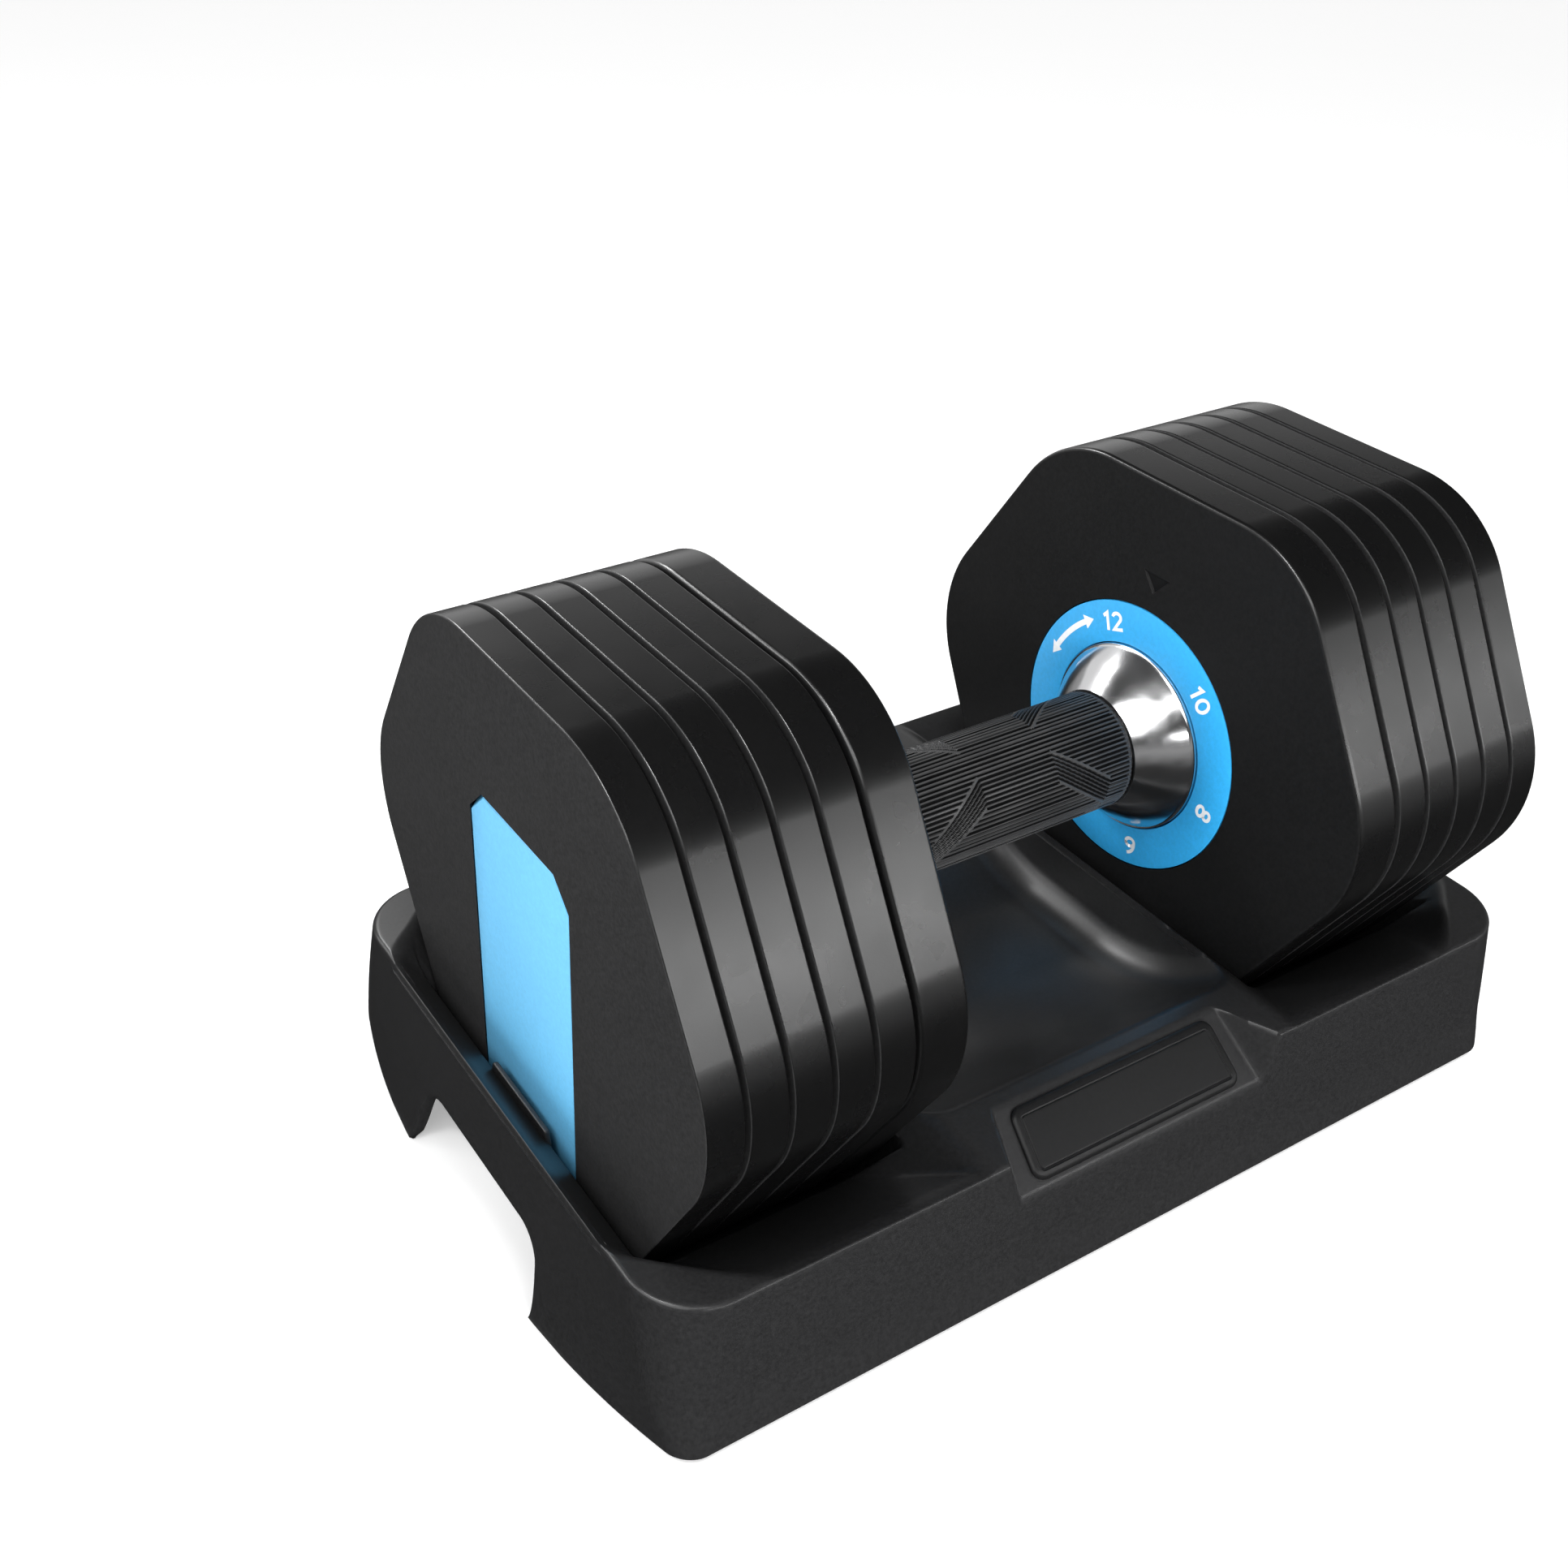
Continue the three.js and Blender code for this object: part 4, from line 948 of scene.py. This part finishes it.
def tray_skin():
    """Points and faces of the tray's outer skin, open below."""
    x, y, from_edge = deck_grid()
    top = np.minimum(edge_top(x), WALL_TOP)
    stretch = np.where(np.abs(x) < PANEL_EDGE_HALF, wall_width(top), DECK_WIDTH)
    past = np.clip(np.abs(y) - PANEL_TOP_Y, 0, None) / (DECK_WIDTH - PANEL_TOP_Y)
    y = np.where(past > 0, np.sign(y) * (PANEL_TOP_Y + past * (stretch - PANEL_TOP_Y)), y)
    z = deck_height(x, y)
    depth = np.clip(DECK_EDGE - from_edge, 0, DECK_EDGE)
    eased = WALL_TOP + np.sqrt(np.clip(DECK_EDGE**2 - depth**2, 0, None))
    z = np.minimum(z, np.where(depth > 0, eased, DECK + 1))
    lip = 1.5
    near = np.clip(lip - (stretch - np.abs(y)), 0, lip)
    opened = np.clip((PANEL_EDGE_HALF - np.abs(x)) / lip, 0, 1)
    z = z - opened * (lip - np.sqrt(lip**2 - near**2))
    rows, columns = x.shape
    points = np.stack([x, y, z], axis=-1).reshape(-1, 3)
    index = np.arange(rows * columns).reshape(rows, columns)
    faces = [
        (index[i, j], index[i + 1, j], index[i + 1, j + 1], index[i, j + 1])
        for i in range(rows - 1)
        for j in range(columns - 1)
    ]
    border = np.concatenate([index[:-1, 0], index[-1, :-1], index[:0:-1, -1], index[0, :0:-1]])
    everything = [tuple(point) for point in points]
    upper = border
    for ring in wall_rings(points[border]):
        lower = np.arange(len(everything), len(everything) + len(border))
        everything += [tuple(point) for point in ring]
        faces += zip(upper, np.roll(upper, -1), np.roll(lower, -1), lower)
        upper = lower
    return everything, [tuple(int(v) for v in face) for face in faces]


def wall_rings(border):
    """Rings of wall points below the deck's border, down to the skirt's foot or the finger arch."""
    x0, y0, z0 = border[:, 0], border[:, 1], border[:, 2]
    out_x = np.clip((np.abs(x0) - STRAIGHT_X) / DECK_CORNER, 0, 1)
    at_end = out_x > 0.999
    out_y = np.sqrt(1 - out_x**2)
    low = np.where(at_end, arch_height(y0), SKIRT_FOOT)
    arched = at_end & (np.abs(y0) < ARCH_HALF)
    lip = 2.4
    bend = np.maximum(SKIRT_BAND, low + (z0 - low) * 0.3)
    upper, lower = bend + 1.2, bend - 1.2
    levels = [z0 + (upper - z0) * share for share in (0.04, 0.1, 0.2, 0.32, 0.45, 0.6, 0.75, 0.88, 1.0)]
    levels += [bend + rise for rise in (0.8, 0.4, 0.0, -0.4, -0.8, -1.2)]
    levels += [low + (lower - low) * share for share in (0.8, 0.6, 0.42, 0.27, 0.16, 0.09, 0.04, 0.01, 0.0)]
    rings = []
    for z in levels:
        corner = FOOT_CORNER + (DECK_CORNER - FOOT_CORNER) * np.clip(
            (z - SKIRT_FOOT) / (WALL_TOP - SKIRT_FOOT), 0, 1)
        y = resized(y0, STRAIGHT_Y, wall_width(z), corner, out_y)
        y = np.where(at_end & (np.abs(y0) < ARCH_HALF + 3), y0, y)
        x = resized(x0, STRAIGHT_X, wall_length(z, y), corner, out_x)
        tuck = np.clip(1 - (z - low) / lip, 0, 1)
        x = np.where(arched, x - np.sign(x0) * lip * (1 - np.sqrt(1 - tuck**2)), x)
        rings.append(np.stack([x, y, z], axis=-1))
    last = rings[-1]
    for inward in (0.4, ARCH_RETURN):
        x = np.where(arched, last[:, 0] - np.sign(x0) * inward, last[:, 0])
        rings.append(np.stack([x, last[:, 1], last[:, 2]], axis=-1))
    return rings


def resized(value, straight, half, corner, out):
    """The deck border's x or y, moved to an outline of another half size and corner radius."""
    return np.sign(value) * (np.minimum(np.abs(value), straight) * (half - corner) / straight + corner * out)


def build_tray():
    points, faces = tray_skin()
    shell = make_piece("tray_moulded_shell", points, faces, ["tray"], 42.0)
    wall = shell.modifiers.new("wall", "SOLIDIFY")
    wall.thickness = SHELL_THICKNESS * MM
    wall.offset = -1.0
    bake_modifiers(shell)
    shell.data.set_sharp_from_angle(angle=math.radians(42.0))
    finish_piece(shell, "tray", "tray_plastic", "tray_shell")


def build_tray_tabs():
    """Low upright tabs on the end strips, which steady the end plates."""
    low, high = 30.0, 39.3
    for word, side in SIDES.items():
        corners = [(-16.8, low, 0.3), (16.8, low, 0.3), (14.6, high, 1.0), (-14.6, high, 1.0)]
        outline = lambda grow: rounded_outline(grown(corners, grow), 4)
        points, faces = loft(slab_rings(outline, 133.6, 135.1, 0.4, 3))
        tab = make_piece(f"tray_tab_{word}", mirrored(points, side), faces, ["tray"])
        soften_faces(tab)
        finish_piece(tab, "tray", "tray_plastic")


def build_foot_sockets():
    """Hollow bosses under the deck that hold the rubber feet."""
    inner, outer, mouth, roof, top = 10.3, 11.6, 1.5, 4.4, 30.0
    profile = [(0.0, roof), (inner, roof), (inner, mouth), (outer, mouth), (outer + 0.6, top), (0.0, top)]
    angles = [2 * math.pi * k / 48 for k in range(48)]
    for number in range(1, 5):
        low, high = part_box(f"tray_foot_{number}")
        u, v = ((low[axis] + high[axis]) / 2 / MM for axis in (0, 1))
        rings = [
            [(u + radius * math.cos(angle), v + radius * math.sin(angle), z) for angle in angles]
            for radius, z in profile
        ]
        socket = make_piece(f"foot_socket_{number}", *loft(rings, False), ["tray"])
        finish_piece(socket, "tray", "tray_plastic")


def build_name_plates():
    """Plain raised plaques in the recesses of the long sides, with a groove inside their edge."""
    foot_y, foot_z = recess_foot()
    run, drop = foot_y - PANEL_TOP_Y, DECK - foot_z
    slope_length = math.hypot(run, drop)
    half = 35.6
    low, high = 2.7, slope_length - 1.9
    corners = [(-half, low, 3.4), (half, low, 3.4), (half - 1.2, high, 3.4), (-half + 1.2, high, 3.4)]
    levels = [(0.0, -0.6), (0.0, 0.7), (-0.35, 1.15), (-1.0, 1.45), (-2.0, 1.5), (-2.2, 1.25),
              (-2.55, 1.2), (-2.8, 1.45), (-3.2, 1.5)]
    for word, side in (("front", -1), ("rear", 1)):
        rings = []
        for grow, lift in levels:
            y, z = foot_y + lift * drop / slope_length, foot_z + lift * run / slope_length
            outline = rounded_outline(grown(corners, grow), 6)
            rings.append([
                (u, side * (y - run * v / slope_length), z + drop * v / slope_length) for u, v in outline
            ])
        plaque = make_piece(f"name_plaque_{word}", *loft(rings), ["plaque"], 30.0)
        soften_faces(plaque)
        finish_piece(plaque, "tray", "plaque_plastic", f"name_plate_{word}")


# ---------------- carried-over nodes
def paint_nodes():
    """Better materials for the CAD pieces that stay as they are."""
    by_start = {
        "core_tube": "steel", "cover_screw": "steel", "detent": "steel", "lock_": "steel",
        "follower_pin": "steel", "handle_tube": "steel", "thrust_washer": "nylon",
        "release_post": "nylon", "housing_cover": "housing", "tray_foot": "foot",
    }
    for name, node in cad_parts.items():
        for start, key in by_start.items():
            if name.startswith(start):
                node.data.materials.clear()
                node.data.materials.append(MATERIALS[key])


# ---------------- stage
def build_stage():
    half = 30000.0
    corners = [(-half, -half, 0), (half, -half, 0), (half, half, 0), (-half, half, 0)]
    floor = make_piece("stage_floor", corners, [(0, 1, 2, 3)], ["floor"])
    floor.visible_glossy = False


def aim(made, place, target):
    made.location = Vector(place) * MM
    made.rotation_euler = (Vector(target) - Vector(place)).to_track_quat("-Z", "Y").to_euler()


def add_light(name, place, target, size_x, size_y, power):
    """A soft rectangular light that the camera doesn't see; places and sizes in millimetres."""
    light = bpy.data.lights.new(name, "AREA")
    light.shape = "RECTANGLE"
    light.size = size_x * MM
    light.size_y = size_y * MM
    light.energy = power
    made = bpy.data.objects.new(name, light)
    bpy.context.scene.collection.objects.link(made)
    aim(made, place, target)
    made.visible_camera = False
    return made


def build_world():
    """A dim room with a bright horizon; the camera itself sees an even pale grey behind the table."""
    world = bpy.data.worlds.new("studio")
    world.use_nodes = True
    nodes, link = world.node_tree.nodes, world.node_tree.links.new
    split = nodes.new("ShaderNodeSeparateXYZ")
    link(nodes.new("ShaderNodeTexCoord").outputs["Generated"], split.inputs["Vector"])
    height = nodes.new("ShaderNodeMapRange")
    height.inputs["From Min"].default_value = -1.0
    link(split.outputs["Z"], height.inputs["Value"])
    ramp = nodes.new("ShaderNodeValToRGB")
    greys = ramp.color_ramp.elements
    levels = [(-1.0, 0.03), (-0.25, 0.03), (0.0, 0.28), (0.08, 0.30), (0.20, 0.04), (0.60, 0.03)]
    levels.append((1.0, 0.05))
    for z, _ in levels[1:-1]:
        greys.new(0.5 + z / 2)
    for element, (_, grey) in zip(greys, levels):
        element.color = (grey, grey, grey, 1.0)
    link(height.outputs["Result"], ramp.inputs["Fac"])
    lit = nodes["Background"]
    link(ramp.outputs["Color"], lit.inputs["Color"])
    seen = nodes.new("ShaderNodeBackground")
    seen.inputs["Color"].default_value = (0.90, 0.90, 0.90, 1.0)
    pick = nodes.new("ShaderNodeMixShader")
    link(nodes.new("ShaderNodeLightPath").outputs["Is Camera Ray"], pick.inputs["Fac"])
    link(lit.outputs["Background"], pick.inputs[1])
    link(seen.outputs["Background"], pick.inputs[2])
    link(pick.outputs["Shader"], nodes["World Output"].inputs["Surface"])
    bpy.context.scene.world = world
    bpy.context.scene.view_settings.view_transform = "Standard"


def build_lights():
    """A fill and an overhead light that only light, and soft boxes that are also seen in the gloss."""
    middle = (0, 0, 80)
    fill = add_light("front_fill", (-300, -1460, 300), middle, 900, 400, 24)
    fill.visible_glossy = False
    # long low boxes for the bands on the plates' edges
    add_light("front_strip_left", (65, -480, 266), (65, 0, 140), 620, 40, 0.66)
    add_light("front_strip_right", (655, -480, 262), (655, 0, 140), 560, 40, 0.36)
    add_light("rear_box", (260, 330, 240), (260, 0, 160), 950, 190, 0.38)
    sky = bpy.data.lights.new("overhead", "SUN")
    sky.energy = 2.6
    sky.angle = math.radians(50)
    overhead = bpy.data.objects.new("overhead", sky)
    overhead.visible_glossy = False
    aim(overhead, (500, -100, 860), (0, 0, 0))
    bpy.context.scene.collection.objects.link(overhead)
    # the left side, the chrome collars, and sparks on the tray's edges
    add_light("left_box", (-850, 620, 760), middle, 800, 260, 3.5)
    add_light("collar_box", (-560, -200, 620), (60, 0, 90), 700, 460, 2.6)
    add_light("collar_spark", (-200, -420, 620), (60, 0, 90), 90, 60, 0.25)
    add_light("edge_spark", (-400, -42, 620), (0, 0, 45), 130, 40, 0.9)
    add_light("rim_spark", (-543, 488, 292), (-140, 0, 40), 300, 90, 0.5)
    add_light("trough_streak", (-130, 380, 385), (50, 0, 30), 170, 60, 0.7)


def build_camera():
    """Looks down on the front left corner."""
    azimuth, elevation, roll = (math.radians(a) for a in (-32.449, 36.479, 1.396))
    distance, target = 423.606, Vector((-85.113, 0.0, 12.702 + AXIS_Z))
    data = bpy.data.cameras.new("camera")
    data.sensor_width = 36.0
    data.lens = 39.307
    data.shift_x = 0.0606
    data.shift_y = 0.0445
    data.clip_start = 0.01
    camera = bpy.data.objects.new("camera", data)
    bpy.context.scene.collection.objects.link(camera)
    look = Matrix.Rotation(azimuth, 4, "Z") @ Matrix.Rotation(math.pi / 2 - elevation, 4, "X")
    look = look @ Matrix.Rotation(roll, 4, "Z") @ Matrix.Translation((0, 0, distance * MM))
    camera.matrix_world = Matrix.Translation(target * MM) @ look
    bpy.context.scene.camera = camera


# ---------------- make everything
build_camera()
build_world()
build_lights()
build_stage()
build_tray()
build_tray_tabs()
build_foot_sockets()
build_name_plates()
build_plates()
build_inserts()
build_housings()
build_grip()
build_hubs()
build_dials()
paint_nodes()
